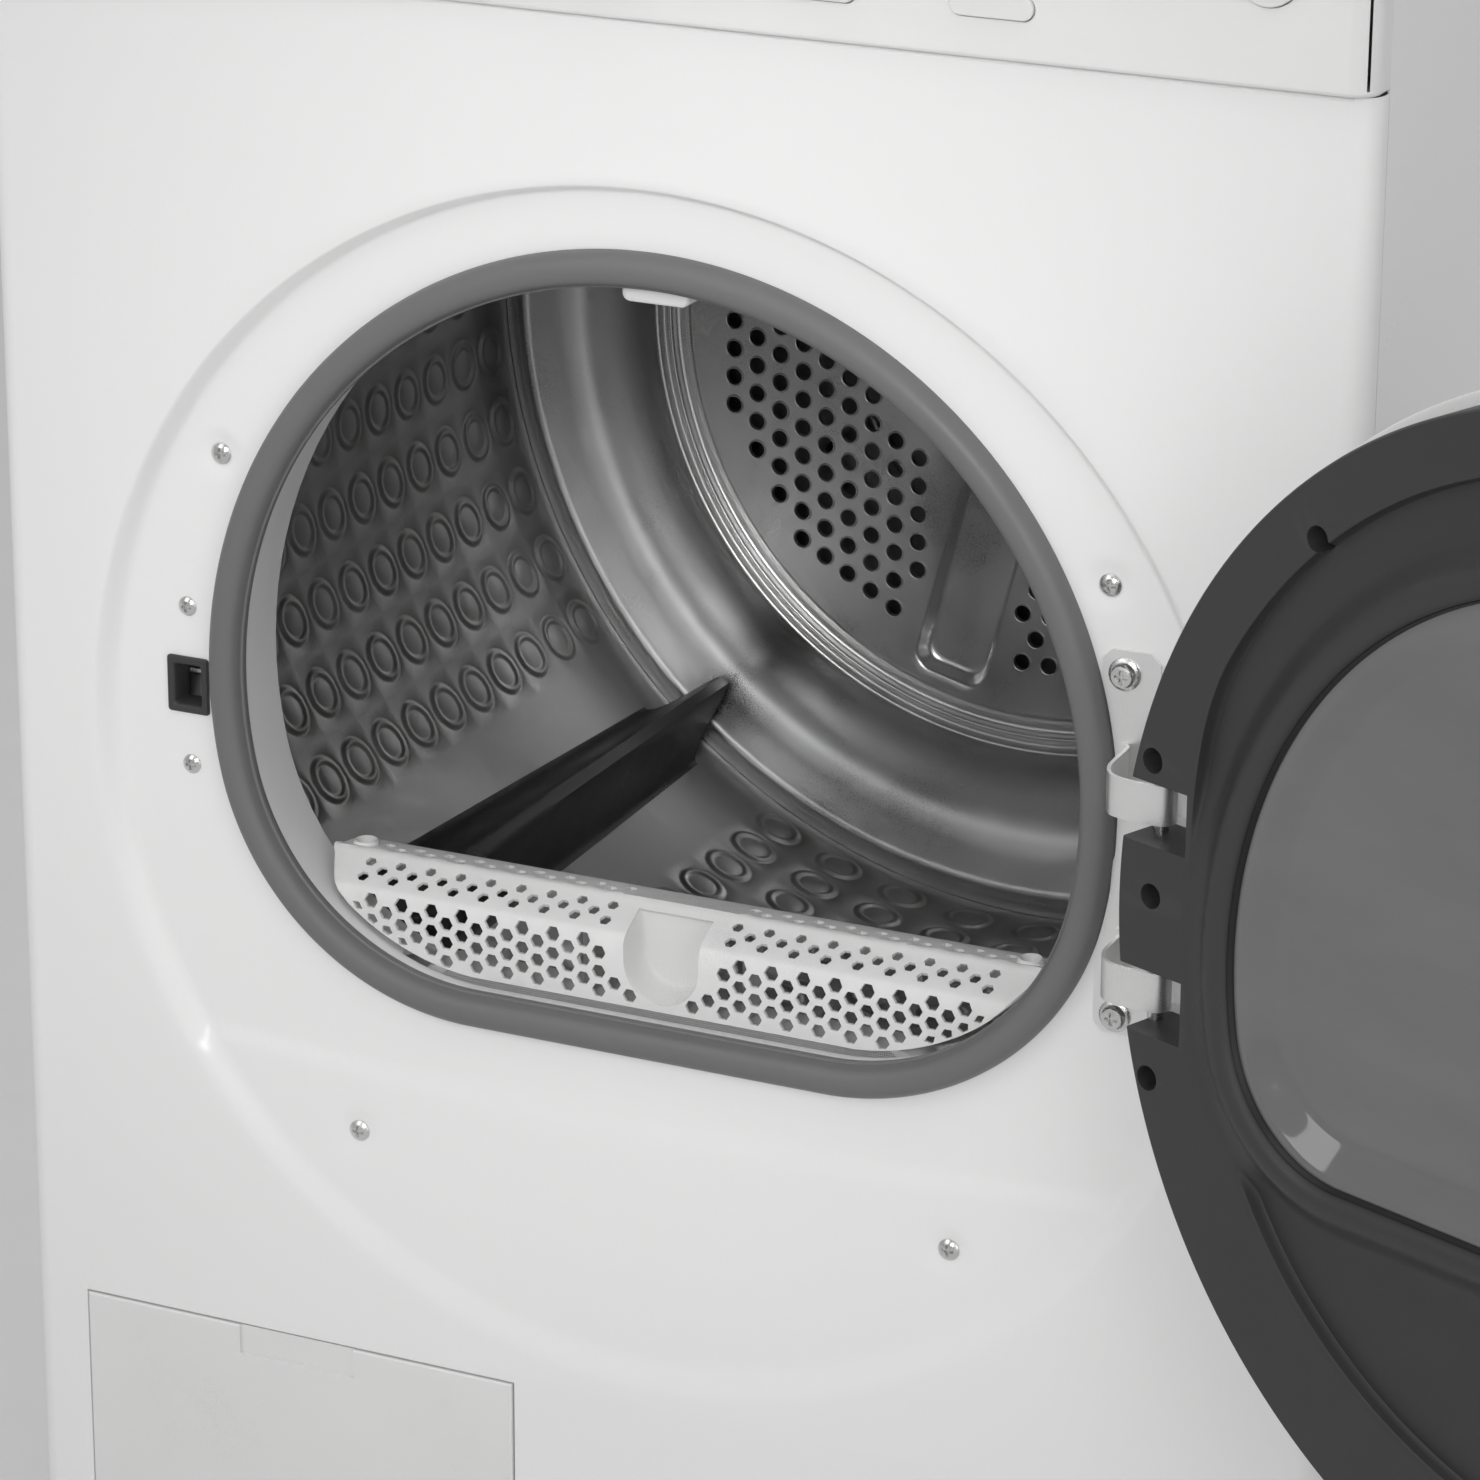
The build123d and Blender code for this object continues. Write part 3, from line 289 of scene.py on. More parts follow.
def d_row(spine, offset, depth):
    return [at(x, depth, rise) for x, rise in (d_point(sample, offset) for sample in spine)]


def spline(p, q, r, s, t):
    """Catmull-Rom value between q and r."""
    return 0.5 * (2 * q + (r - p) * t + (2 * p - 5 * q + 4 * r - s) * t * t + (3 * q - p - 3 * r + s) * t**3)


def rounded(points, turns):
    """A smooth curve through points, with this many steps to each span."""
    pts = [points[0], *points, points[-1]]
    out = []
    for a, b, c, d in zip(pts, pts[1:], pts[2:], pts[3:]):
        for k in range(turns):
            out.append(tuple(spline(*values, k / turns) for values in zip(a, b, c, d)))
    return [*out, points[-1]]


def cut_sheet(outline, holes, lines=()):
    """Triangulates a flat outline with convex holes. lines are open runs of points kept as edges."""
    points, edges = [], []
    for loop in [outline, *holes]:
        start = len(points)
        points.extend(Vector(p) for p in loop)
        edges.extend((start + i, start + (i + 1) % len(loop)) for i in range(len(loop)))
    for line in lines:
        start = len(points)
        points.extend(Vector(p) for p in line)
        edges.extend((start + i, start + i + 1) for i in range(len(line) - 1))
    verts, _, faces, *_ = geometry.delaunay_2d_cdt(points, edges, [], 1, 1e-6)
    flat = np.array([[v.x, v.y] for v in verts])
    tri = np.array([f for f in faces if len(f) == 3])
    mid = flat[tri].mean(axis=1)
    keep = np.ones(len(tri), bool)
    for hole in holes:
        ring = np.array(hole)
        inside = np.ones(len(tri), bool)
        side = np.roll(ring, -1, axis=0) - ring
        sign = np.sign(np.sum(ring[:, 0] * np.roll(ring[:, 1], -1) - np.roll(ring[:, 0], -1) * ring[:, 1]))
        for corner, edge in zip(ring, side):
            inside &= sign * (edge[0] * (mid[:, 1] - corner[1]) - edge[1] * (mid[:, 0] - corner[0])) > -1e-9
        keep &= ~inside
    return flat, [tuple(t) for t in tri[keep]]


# ---- materials ----


def tree_of(name):
    material = bpy.data.materials.new(name)
    material.use_nodes = True
    return material, material.node_tree.nodes, material.node_tree.links


def fill(node, values):
    """Sets a node's own sockets."""
    for socket, value in values.items():
        node.inputs[socket].default_value = value
    return node


def texture(nodes, links, scale, detail, stretch=(1, 1, 1)):
    """Noise fixed to the part, in metres. stretch above 1 shortens the grain along that axis."""
    where = nodes.new("ShaderNodeTexCoord")
    mapping = fill(nodes.new("ShaderNodeMapping"), {"Scale": stretch})
    grain = fill(nodes.new("ShaderNodeTexNoise"), {"Scale": scale, "Detail": detail, "Roughness": 0.55})
    links.new(where.outputs["Object"], mapping.inputs["Vector"])
    links.new(mapping.outputs["Vector"], grain.inputs["Vector"])
    return grain.outputs["Fac"]


def ranged(nodes, links, source, low, high, start=0.3, end=0.7):
    limits = {"From Min": start, "From Max": end, "To Min": low, "To Max": high}
    span = fill(nodes.new("ShaderNodeMapRange"), limits)
    links.new(source, span.inputs["Value"])
    return span.outputs["Result"]


def blend_colour(nodes, links, source, dark, light):
    mix = nodes.new("ShaderNodeMix")
    mix.data_type = "RGBA"
    mix.inputs["A"].default_value = (*dark, 1)
    mix.inputs["B"].default_value = (*light, 1)
    links.new(source, mix.inputs["Factor"])
    return mix.outputs["Result"]


def emboss(nodes, links, shader, height, strength, distance):
    relief = fill(nodes.new("ShaderNodeBump"), {"Strength": strength, "Distance": distance})
    links.new(height, relief.inputs["Height"])
    links.new(relief.outputs["Normal"], shader.inputs["Normal"])


def shades(tint, spread):
    return tuple(c * (1 - spread) for c in tint), tuple(min(c * (1 + spread), 1) for c in tint)


def surface(
    name, tint, rough=0.4, metal=0.0, spread=0.05, patch=22.0, rough_spread=0.08, grain=1200.0,
    stretch=(1, 1, 1), bump=0.1, depth=0.0002, coat=0.0, wear=0.0,
):
    """A mottled surface with a fine grain in roughness and bump, worn paler where it sticks out."""
    material, nodes, links = tree_of(name)
    shader = nodes["Principled BSDF"]
    slow = texture(nodes, links, patch, 6)
    fine = texture(nodes, links, grain, 2, stretch)
    dark, light = shades(tint, spread)
    colour = blend_colour(nodes, links, ranged(nodes, links, slow, 0, 1), dark, light)
    if wear:
        edges = nodes.new("ShaderNodeNewGeometry")
        mask = ranged(nodes, links, edges.outputs["Pointiness"], 0, wear, 0.52, 0.58)
        mix = nodes.new("ShaderNodeMix")
        mix.data_type = "RGBA"
        mix.inputs["B"].default_value = (*[min(c * 1.5 + 0.03, 0.95) for c in tint], 1)
        links.new(mask, mix.inputs["Factor"])
        links.new(colour, mix.inputs["A"])
        colour = mix.outputs["Result"]
    links.new(colour, shader.inputs["Base Color"])
    fill(shader, {"Metallic": metal})
    mixed = nodes.new("ShaderNodeMath")
    mixed.operation = "ADD"
    links.new(ranged(nodes, links, slow, -rough_spread, rough_spread), mixed.inputs[0])
    links.new(ranged(nodes, links, fine, rough - rough_spread, rough + rough_spread), mixed.inputs[1])
    links.new(mixed.outputs["Value"], shader.inputs["Roughness"])
    emboss(nodes, links, shader, fine, bump, depth)
    if coat:
        fill(shader, {"Coat Weight": coat, "Coat Roughness": 0.12})
    return material


def smoked_glass():
    """Dark pane with faint smears in its gloss."""
    material, nodes, links = tree_of("smoked_glass")
    shader = nodes["Principled BSDF"]
    slow = texture(nodes, links, 9, 5, (1, 1, 3))
    dark, light = shades((0.145, 0.145, 0.147), 0.08)
    colour = blend_colour(nodes, links, ranged(nodes, links, slow, 0, 1), dark, light)
    links.new(colour, shader.inputs["Base Color"])
    links.new(ranged(nodes, links, slow, 0.05, 0.14), shader.inputs["Roughness"])
    fill(shader, {"IOR": 1.6, "Coat Weight": 0.6, "Coat Roughness": 0.04})
    return material


def filter_cloth():
    """Fine woven mesh of the lint pocket."""
    material, nodes, links = tree_of("filter_cloth")
    shader = nodes["Principled BSDF"]
    where = nodes.new("ShaderNodeTexCoord")
    waves = []
    for direction in ("X", "Z"):
        wave = nodes.new("ShaderNodeTexWave")
        wave.bands_direction = direction
        wave.inputs["Scale"].default_value = 320
        links.new(where.outputs["Object"], wave.inputs["Vector"])
        waves.append(wave.outputs["Fac"])
    both = nodes.new("ShaderNodeMath")
    both.operation = "MAXIMUM"
    links.new(waves[0], both.inputs[0])
    links.new(waves[1], both.inputs[1])
    colour = blend_colour(nodes, links, both.outputs["Value"], (0.25, 0.25, 0.25), (0.62, 0.62, 0.62))
    links.new(colour, shader.inputs["Base Color"])
    fill(shader, {"Roughness": 0.7})
    emboss(nodes, links, shader, both.outputs["Value"], 0.5, 0.0003)
    return material


ENAMEL = surface(
    "enamel", (0.87, 0.87, 0.867), 0.32, spread=0.005, patch=6, rough_spread=0.025, grain=700,
    bump=0.03, coat=0.25,
)
WHITE = surface("white_plastic", (0.78, 0.78, 0.775), 0.38, spread=0.015, grain=1500, bump=0.08, wear=0.15)
WORKTOP = surface("worktop", (0.78, 0.78, 0.775), 0.34, spread=0.015, grain=900, bump=0.12)
FILTER = surface("filter_plastic", (0.70, 0.70, 0.695), 0.36, spread=0.02, grain=1500, bump=0.06, wear=0.2)
LINER = surface("liner_plastic", (0.84, 0.84, 0.84), 0.42, spread=0.02, grain=1300, bump=0.08)
GREY = surface("grey_plastic", (0.30, 0.305, 0.305), 0.5, spread=0.04, grain=1100, bump=0.12, wear=0.15)
CLEAR = surface("container_plastic", (0.62, 0.63, 0.63), 0.3, spread=0.03, grain=900, bump=0.06)
ANTHRACITE = surface(
    "anthracite", (0.034, 0.034, 0.035), 0.50, spread=0.05, grain=2200, bump=0.25,
    wear=0.12,
)
BLACK = surface("black_plastic", (0.022, 0.022, 0.0225), 0.36, spread=0.1, grain=1600, bump=0.15, wear=0.1)
DISPLAY = surface("display", (0.012, 0.012, 0.013), 0.12, spread=0.1, grain=500, bump=0.02, coat=0.8)
STEEL = surface(
    "drum_steel", (0.38, 0.38, 0.378), 0.44, 1.0, spread=0.06, grain=2600, bump=0.35,
    depth=0.0001,
)
BACK_STEEL = surface(
    "back_steel", (0.66, 0.66, 0.657), 0.34, 1.0, spread=0.05, grain=2600, bump=0.3,
    depth=0.0001,
)
BRIGHT = surface(
    "bright_steel", (0.66, 0.66, 0.655), 0.24, 1.0, spread=0.05, grain=900, stretch=(1, 1, 8),
    bump=0.15,
)
PLATE_STEEL = surface(
    "plate_steel", (0.80, 0.80, 0.795), 0.34, 0.85, spread=0.04, grain=900, stretch=(1, 1, 8),
    bump=0.15,
)
ZINC = surface("zinc", (0.42, 0.425, 0.43), 0.42, 0.9, spread=0.12, patch=60, grain=700, bump=0.2)
ALUMINIUM = surface("aluminium", (0.55, 0.55, 0.555), 0.42, 0.9, spread=0.06, grain=1000, bump=0.25)
BRONZE = surface("bronze", (0.42, 0.30, 0.16), 0.4, 0.9, spread=0.06, grain=1200, bump=0.2)
SEAL = surface("seal_rubber", (0.150, 0.150, 0.152), 0.50, spread=0.03, patch=14, grain=1700, bump=0.15)
RUBBER = surface("black_rubber", (0.012, 0.012, 0.012), 0.42, spread=0.08, grain=1500, bump=0.15)
FELT = surface("felt", (0.20, 0.20, 0.205), 0.9, spread=0.15, patch=90, grain=900, bump=0.8, depth=0.0006)
SMOKED = smoked_glass()
CLOTH = filter_cloth()

NODE_MATERIALS = {
    ENAMEL: ("left_side_panel", "right_side_panel"),
    WHITE: ("control_fascia", "container_front", "service_flap", "programme_knob", "power_button",
            "start_button", "option_button_1", "option_button_2", "lamp_lens"),
    WORKTOP: ("worktop",),
    LINER: ("front_bulkhead",),
    GREY: ("container_tray", "filter_housing", "fan_housing", "drain_pump", "idler_roller", "process_fan",
           "rear_duct_cover"),
    CLEAR: ("water_container",),
    ANTHRACITE: ("strike_socket",),
    BLACK: ("support_roller_left", "support_roller_right", "levelling_feet", "mains_inlet"),
    DISPLAY: ("display_window",),
    BRIGHT: ("hinge_pin", "latch_catch", "latch_hook", "flap_pins"),
    ZINC: ("base_pan", "rear_panel", "roller_axles", "idler_arm", "idler_spring", "drum_shaft", "motor_rotor",
           "heater"),
    ALUMINIUM: ("motor_housing", "heat_exchanger"),
    BRONZE: ("rear_bearing",),
    RUBBER: ("drum_belt",),
    FELT: ("drum_felt",),
}


def dress_nodes():
    for material, names in NODE_MATERIALS.items():
        for name in names:
            node = frame["nodes"][name]
            for place in node.material_slots:
                place.material = material


# ---- front panel ----

DISH_FLOOR_R = 247.0
DISH_FLOOR_RISE = -22.0
DISH_RIM_R = 257.0
DISH_RIM_RISE = -28.0
SHELF_RISE = -163.0
EDGE_R = 9.0
FLAP_GAP = 0.7
STRIKE_HOLE = ((-221, -207), (-18.5, 1.5))


def floor_depth(x, rise):
    """Depth of the dish floor: flat, with a soft shelf below and a dimple at each screw."""
    below = SHELF_RISE + 6 * smooth_step((abs(x) - 90) / 140) - rise
    depth = -2.4 * smooth_step(below / 8) - 2.8 * smooth_step(below / 120)
    for sx, sz in DISH_SCREWS:
        far = hypot(x - sx, rise - sz)
        if far < 12:
            depth += 0.75 + 0.75 * cos(pi * max(far - 3.5, 0) / 8.5)
    return depth


def over_strike(skin, face):
    centre = sum((skin.verts[i] for i in face), Vector()) / len(face)
    (x0, x1), (z0, z1) = STRIKE_HOLE
    return x0 < centre.x / MM < x1 and z0 < (centre.z - OPENING_Z) / MM < z1


def between(inner, outer, t):
    return [(x0 + (x1 - x0) * t, z0 + (z1 - z0) * t) for (x0, z0), (x1, z1) in zip(inner, outer)]


def front_skin():
    count = 720
    spine = d_spine(SEAL_R, SEAL_FLAT, SEAL_CORNER, count)
    inner = [d_point(s, -8) for s in spine]
    rows = [[at(x, 1.5, z) for x, z in inner], [at(x, 0, z) for x, z in (d_point(s, -7) for s in spine)]]
    near = [d_point(s, -1) for s in spine]
    aim = [atan2(z - DISH_FLOOR_RISE, x) for x, z in near]
    ring = [(DISH_FLOOR_R * cos(a), DISH_FLOOR_RISE + DISH_FLOOR_R * sin(a)) for a in aim]
    floor_rings = 26
    for k in range(floor_rings + 1):
        rows.append([at(x, floor_depth(x, z), z) for x, z in between(near, ring, k / floor_rings)])
    outer = [(DISH_RIM_R * cos(a), DISH_RIM_RISE + DISH_RIM_R * sin(a)) for a in aim]
    slope_rings = 9
    for k in range(1, slope_rings + 1):
        t = k / slope_rings
        row = []
        for (x0, z0), (x, z) in zip(ring, between(ring, outer, t)):
            start = floor_depth(x0, z0)
            row.append(at(x, start + (SKIN - start) * smooth_step(t), z))
        rows.append(row)
    flat_x, top, bottom = HALF_W - EDGE_R, PANEL_TOP - 2, DISH_RIM_RISE - DISH_RIM_R - 4
    border = []
    for (x, z), a in zip(outer, aim):
        reach = []
        if abs(cos(a)) > 1e-6:
            reach.append(flat_x / abs(cos(a)))
        if abs(sin(a)) > 1e-6:
            limit = top if sin(a) > 0 else bottom
            reach.append((limit - DISH_RIM_RISE) / sin(a))
        r = min(reach)
        border.append([r * cos(a), DISH_RIM_RISE + r * sin(a)])
    for corner in ((flat_x, top), (-flat_x, top), (flat_x, bottom), (-flat_x, bottom)):
        nearest = min(range(count), key=lambda i: hypot(border[i][0] - corner[0], border[i][1] - corner[1]))
        border[nearest] = list(corner)
    for t in (0.06, 0.5, 0.985, 1.0):
        rows.append([at(x, SKIN, z) for x, z in between(outer, border, t)])
    skin = Mesh().rows(rows)
    for side in (-1, 1):
        strip = []
        for z in (PANEL_BOTTOM, -150, 0, 150, PANEL_TOP):
            row = [at(side * (flat_x - 0.01), SKIN, z)]
            for k in range(1, 10):
                a = pi / 2 * k / 9
                row.append(at(side * (flat_x + EDGE_R * sin(a)), SKIN + EDGE_R * (1 - cos(a)), z))
            row.append(at(side * HALF_W, SKIN + 13, z))
            strip.append(row)
        skin.rows(strip, closed=False)
    lip = [(SKIN, top), (SKIN + 0.5, PANEL_TOP - 0.6), (SKIN + 1.6, PANEL_TOP), (SKIN + 8, PANEL_TOP)]
    skin.rows([[at(x, d, z) for x in (-flat_x, 0, flat_x)] for d, z in lip], closed=False)
    flap_lo, flap_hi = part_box("service_flap")
    x0, x1 = flap_lo.x / MM - FLAP_GAP, flap_hi.x / MM + FLAP_GAP
    z0, z1 = (flap_lo.z - OPENING_Z) / MM - FLAP_HEEL_GAP, (flap_hi.z - OPENING_Z) / MM + FLAP_GAP

    def hole(grow):
        low, high = z0 - grow, z1 + grow
        return [(x0 - grow, low), (x1 + grow, low), (x1 + grow, high), (x0 - grow, high)]

    sheet = [(-flat_x, PANEL_BOTTOM), (flat_x, PANEL_BOTTOM), (flat_x, bottom), (-flat_x, bottom)]
    flat, faces = cut_sheet(sheet, [hole(0.8)])
    skin.add([at(x, SKIN, z) for x, z in flat], faces)
    turned_in = ((0.8, SKIN), (0.2, SKIN + 0.25), (0, SKIN + 0.9), (0, -3))
    skin.rows([[at(x, d, z) for x, z in hole(g)] for g, d in turned_in])
    skin.faces = [face for face in skin.faces if not over_strike(skin, face)]
    return build("front_skin", skin, ENAMEL, "cabinet", ["front_panel"], 40)


# ---- screws ----


def screw_rows(mesh, x, rise, seat, head_r, dome, cross=2.3):
    """A domed head with a cross recess."""
    rings, count = 12, 48
    rows = []
    for k in range(rings, -1, -1):
        r = head_r * k / rings
        row = []
        for u, v in polygon(r, count):
            height = dome * (1 - (r / head_r) ** 2.4)
            arm = min(abs(u), abs(v)) < 0.55 and max(abs(u), abs(v)) < cross
            if arm or r < 0.9:
                height -= 1.1
            row.append(at(x + u, seat - 0.7 - height, rise + v))
        rows.append(row)
    mesh.rows([circle_row(head_r, seat + 0.6, x, rise, count), *rows])
    return mesh


def front_screws():
    heads = Mesh()
    for x, z in DISH_SCREWS:
        screw_rows(heads, x, z, floor_depth(x, z), 4.6, 1.7)
    for x, z in STRIKE_SCREWS:
        screw_rows(heads, x, z, 0.2, 4.2, 1.6)
    for x, z in HINGE_SCREWS:
        washer = [(-1.4, 6.6), (-2.1, 6.6), (-2.5, 6.1), (-2.9, 5.0)]
        heads.rows(turned(washer, x, z, 48))
        hexagon = [(x + 4.7 * cos(pi / 3 * k + 0.3), z + 4.7 * sin(pi / 3 * k + 0.3)) for k in range(6)]
        heads.rows([[at(px, d, pz) for px, pz in hexagon] for d in (-2.5, -5.4)])
        screw_rows(heads, x, z, -5.0, 4.2, 0.6, 2.6)
    return build("front_screw_heads", heads, BRIGHT, "cabinet", ["front_screws"], 32)


# ---- seal ----


def seal_half_width(rise, inset=0.0):
    """Half the width of the seal's D at a rise, that far inside its outer edge."""
    radius, corner = SEAL_R - inset, SEAL_CORNER - inset
    drop = SEAL_FLAT - SEAL_CORNER
    if rise > -drop:
        return sqrt(radius**2 - rise**2)
    lift = min(max((-drop - rise) / corner, 0), 1)
    return sqrt((radius - corner) ** 2 - drop**2) + corner * sqrt(1 - lift**2)


def seal():
    spine = d_spine(SEAL_R, SEAL_FLAT, SEAL_CORNER, 540)
    profile = [
        (0.0, 0.6), (0.0, -1.5), (-0.5, -4.2), (-2.0, -6.9), (-4.4, -8.4), (-7.3, -8.9),
        (-10.2, -8.3), (-12.4, -6.7), (-13.6, -4.4), (-14.1, -2.6), (-14.35, -2.1), (-15.0, -1.6),
        (-15.0, 0.4), (-14.2, 2.5), (-12.8, 3.0),
    ]
    fine = rounded(profile, 3)
    seam = radians(-9.0)
    rows = []
    for offset, depth in fine:
        row = []
        for sample in spine:
            x, z = d_point(sample, offset)
            pinch = exp(-(((atan2(z, x) - seam) * SEAL_R / 0.7) ** 2))
            row.append(at(x, depth + 0.7 * pinch if depth < 0 else depth, z))
        rows.append(row)
    rows.append(d_row(spine, -0.5, 2.0))
    ring = Mesh().rows(rows)
    return build("seal_ring", ring, SEAL, "cabinet", ["door_seal"], 50)


# ---- drum ----

CELL_DEG = 7.07
CELL_ROWS = 14
CELL_PITCH = 27.7
CELL_COLUMNS = 13
CELL_SIDE = 5
LAST_CELL = 394.0


def drum_point(angle, depth, radius):
    a = radians(angle)
    return at(radius * cos(a), depth, DRUM_RISE + radius * sin(a))


def cell_border():
    """Points round a unit square, the same number on each side."""
    side = [(-1 + 2 * k / CELL_SIDE, -1.0) for k in range(CELL_SIDE)]
    border = []
    for turn in range(4):
        c, s = round(cos(turn * pi / 2)), round(sin(turn * pi / 2))
        border.extend((c * u - s * v, s * u + c * v) for u, v in side)
    return border


def drum_wall():
    """Cylinder pressed with rows of ring-shaped beads between the lifters."""
    wall = Mesh()
    half_arc = radians(CELL_DEG / 2) * DRUM_R
    half_y = CELL_PITCH / 2
    border = cell_border()
    aims = [atan2(v * half_y, u * half_arc) for u, v in border]
    beads = (
        (13.6, 0.0), (13.0, -0.25), (12.2, -0.35), (11.3, -0.1), (10.4, 0.45), (9.5, 0.75), (8.7, 0.6),
        (7.9, 0.15), (7.2, -0.05), (6.4, 0.1), (4.4, 0.5),
    )
    first = LAST_CELL - CELL_PITCH * (CELL_COLUMNS - 1)
    lo, hi = first - half_y, LAST_CELL + half_y
    for lifter in LIFTER_ANGLES:
        sector = lifter + 60
        for i in range(CELL_ROWS):
            angle = sector + (i - (CELL_ROWS - 1) / 2) * CELL_DEG
            for j in range(CELL_COLUMNS):
                depth = first + CELL_PITCH * j

                def place(u, v, h):
                    return drum_point(angle + degrees(u / DRUM_R), depth + v, DRUM_R - h)

                rows = [[place(u * half_arc, v * half_y, 0) for u, v in border]]
                for radius, height in beads:
                    rows.append([place(radius * cos(a), radius * sin(a), height) for a in aims])
                wall.rows(rows)
                wall.fan(rows[-1], place(0, 0, 0.65))
    edge_angles = []
    for lifter in sorted(LIFTER_ANGLES):
        start = lifter + 60 - CELL_DEG * CELL_ROWS / 2
        edge_angles.extend(start + CELL_DEG * k / CELL_SIDE for k in range(CELL_ROWS * CELL_SIDE))
        gap = 120 - CELL_DEG * CELL_ROWS
        edge_angles.extend(start + CELL_DEG * CELL_ROWS + gap * k / 12 for k in range(12))
        bare = [start - gap + gap * k / 12 for k in range(13)]
        wall.rows([[drum_point(a, d, DRUM_R) for a in bare] for d in (lo, hi)], closed=False)
    half_sheet = DRUM_SHEET / 2
    front = ((DRUM_NEAR, half_sheet), (DRUM_NEAR + half_sheet, 0), (lo, 0))
    rear = ((hi, 0), (DRUM_FAR - 2, 0))
    outside = ((DRUM_FAR - 2, 0), (DRUM_FAR, half_sheet), (DRUM_FAR - 2, DRUM_SHEET))
    outside += ((DRUM_NEAR + 2, DRUM_SHEET), (DRUM_NEAR, half_sheet))
    for band in (front, rear, outside):
        wall.rows([[drum_point(a, d, DRUM_R + out) for a in edge_angles] for d, out in band])
    return build("drum_wall", wall, STEEL, "drum", ["drum_shell"], 50, mend=False)


# ---- drum back ----

PLATE_R = 175.0
PLATE_DEPTH = 400.0
HOLE_R = 3.75
HOLE_RIM = 4.85
HUB_R = 44.0
RIB_ANGLE = 255.5
RIB_HALF = 19.0
RIB_NEAR = 70.0
RIB_FAR = 171.0
RIB_CORNER = 9.0
COLUMN = 11.95
ROW = 13.65
LATTICE_X = -142.0
LATTICE_Z = -11.6
QUARTER_SHIFT = (2.5, -4.3)
HOLES_FROM = 82
HOLES_TO = 162
RIB_CLEAR = 26


def rib_outline(half_width):
    """A rounded slot along the x axis."""
    shrink = RIB_HALF - half_width
    corner = min(RIB_CORNER, half_width - 0.5)
    return rounded_box(RIB_NEAR + shrink, RIB_FAR - shrink, -half_width, half_width, corner, 7)


def rotated(points, turn):
    c, s = cos(radians(turn)), sin(radians(turn))
    return [(c * x - s * y, s * x + c * y) for x, y in points]


def plate_holes():
    """Hole centres in four sectors between the ribs, each on its own triangular lattice."""
    centres = []
    for quarter in range(4):
        shift = (0.0, 0.0) if quarter == 0 else QUARTER_SHIFT
        for i in range(-4, 14):
            for j in range(-12, 14):
                x = LATTICE_X + COLUMN * i + shift[0] - COLUMN
                z = LATTICE_Z - ROW * j + (ROW / 2 if i % 2 == 0 else 0) + shift[1]
                r = hypot(x, z)
                if not HOLES_FROM < r < HOLES_TO:
                    continue
                angle = degrees(atan2(z, x)) % 360
                middle = (RIB_ANGLE - 45) % 360
                off = (angle - middle + 180) % 360 - 180
                side = r * sin(radians(45 - abs(off)))
                if abs(off) < 45 and side > RIB_CLEAR:
                    centres.append(rotated([(x, z)], 90 * quarter)[0])
    return centres


def drum_end():
    centres = plate_holes()
    disc = polygon(PLATE_R, 180)
    ring = polygon(1, 14)
    rims = [[(x + HOLE_RIM * u, z + HOLE_RIM * v) for u, v in ring] for x, z in centres]
    ribs = [rotated(rib_outline(RIB_HALF), RIB_ANGLE - 90 * k) for k in range(4)]
    flat, faces = cut_sheet(disc, [*rims, *ribs, polygon(HUB_R, 72)])
    end = Mesh().add([at(x, PLATE_DEPTH, DRUM_RISE + z) for x, z in flat], faces)
    roll = ((HOLE_RIM, 0), (4.72, -0.55), (4.4, -0.85), (4.05, -0.75), (3.82, -0.3))
    roll += ((HOLE_R, 0.4), (HOLE_R, 1.4))
    for x, z in centres:
        end.rows([[at(x + r * u, PLATE_DEPTH + d, DRUM_RISE + z + r * v) for u, v in ring] for r, d in roll])
    channel = ((RIB_HALF, 0), (18.4, 0.4), (17.7, 1.5), (16.3, 6.0), (15.5, 7.4), (14.3, 8.1), (12.6, 8.3))
    for k in range(4):
        loops = []
        for half, drop in channel:
            outline = rotated(rib_outline(half), RIB_ANGLE - 90 * k)
            loops.append([at(x, PLATE_DEPTH + drop, DRUM_RISE + z) for x, z in outline])
        end.rows(loops).cap(loops[-1])
    cone = [(PLATE_DEPTH, HUB_R), (399.8, 42), (397, 38), (394.5, 33), (394, 26), (394, 18)]
    end.rows(turned(rounded(cone, 4), 0, DRUM_RISE, 72))
    end.rows(turned([(394, 18), (392.8, 17.4), (390.5, 16), (389.8, 12), (389.6, 0.05)], 0, DRUM_RISE, 72))
    dish = [
        (400.0, PLATE_R), (400.0, 177.0), (400.9, 179.0), (402.2, 181.0), (402.7, 183.6), (401.9, 185.5),
        (399.6, 186.8), (399.0, 187.8), (399.9, 189.0), (401.6, 190.5), (401.6, 192.2), (399.4, 193.6),
        (398.7, 195.0), (399.8, 196.6), (402.8, 199.4), (406.8, 204.8), (410.2, 211.5), (412.7, 220.5),
        (413.3, 229.5), (412.0, 237.8), (409.6, 245.0), (407.6, 252.0), (406.4, 259.0), (405.4, 265.0),
        (404.6, 267.4), (404.4, 268.8), (405.2, 270.4), (407.6, 272.2), (411.4, 275.4), (413.4, 279.2),
        (414.0, DRUM_R - 0.1),
    ]
    end.rows(turned(rounded(dish, 4), 0, DRUM_RISE, 240))
    return build("drum_end", end, BACK_STEEL, "drum", ["drum_back"], 40)


# ---- lifters ----


FOOT_NEAR = 30
FOOT_FAR = 19
FIN_HEIGHT = 33
FIN_GROWTH = 9


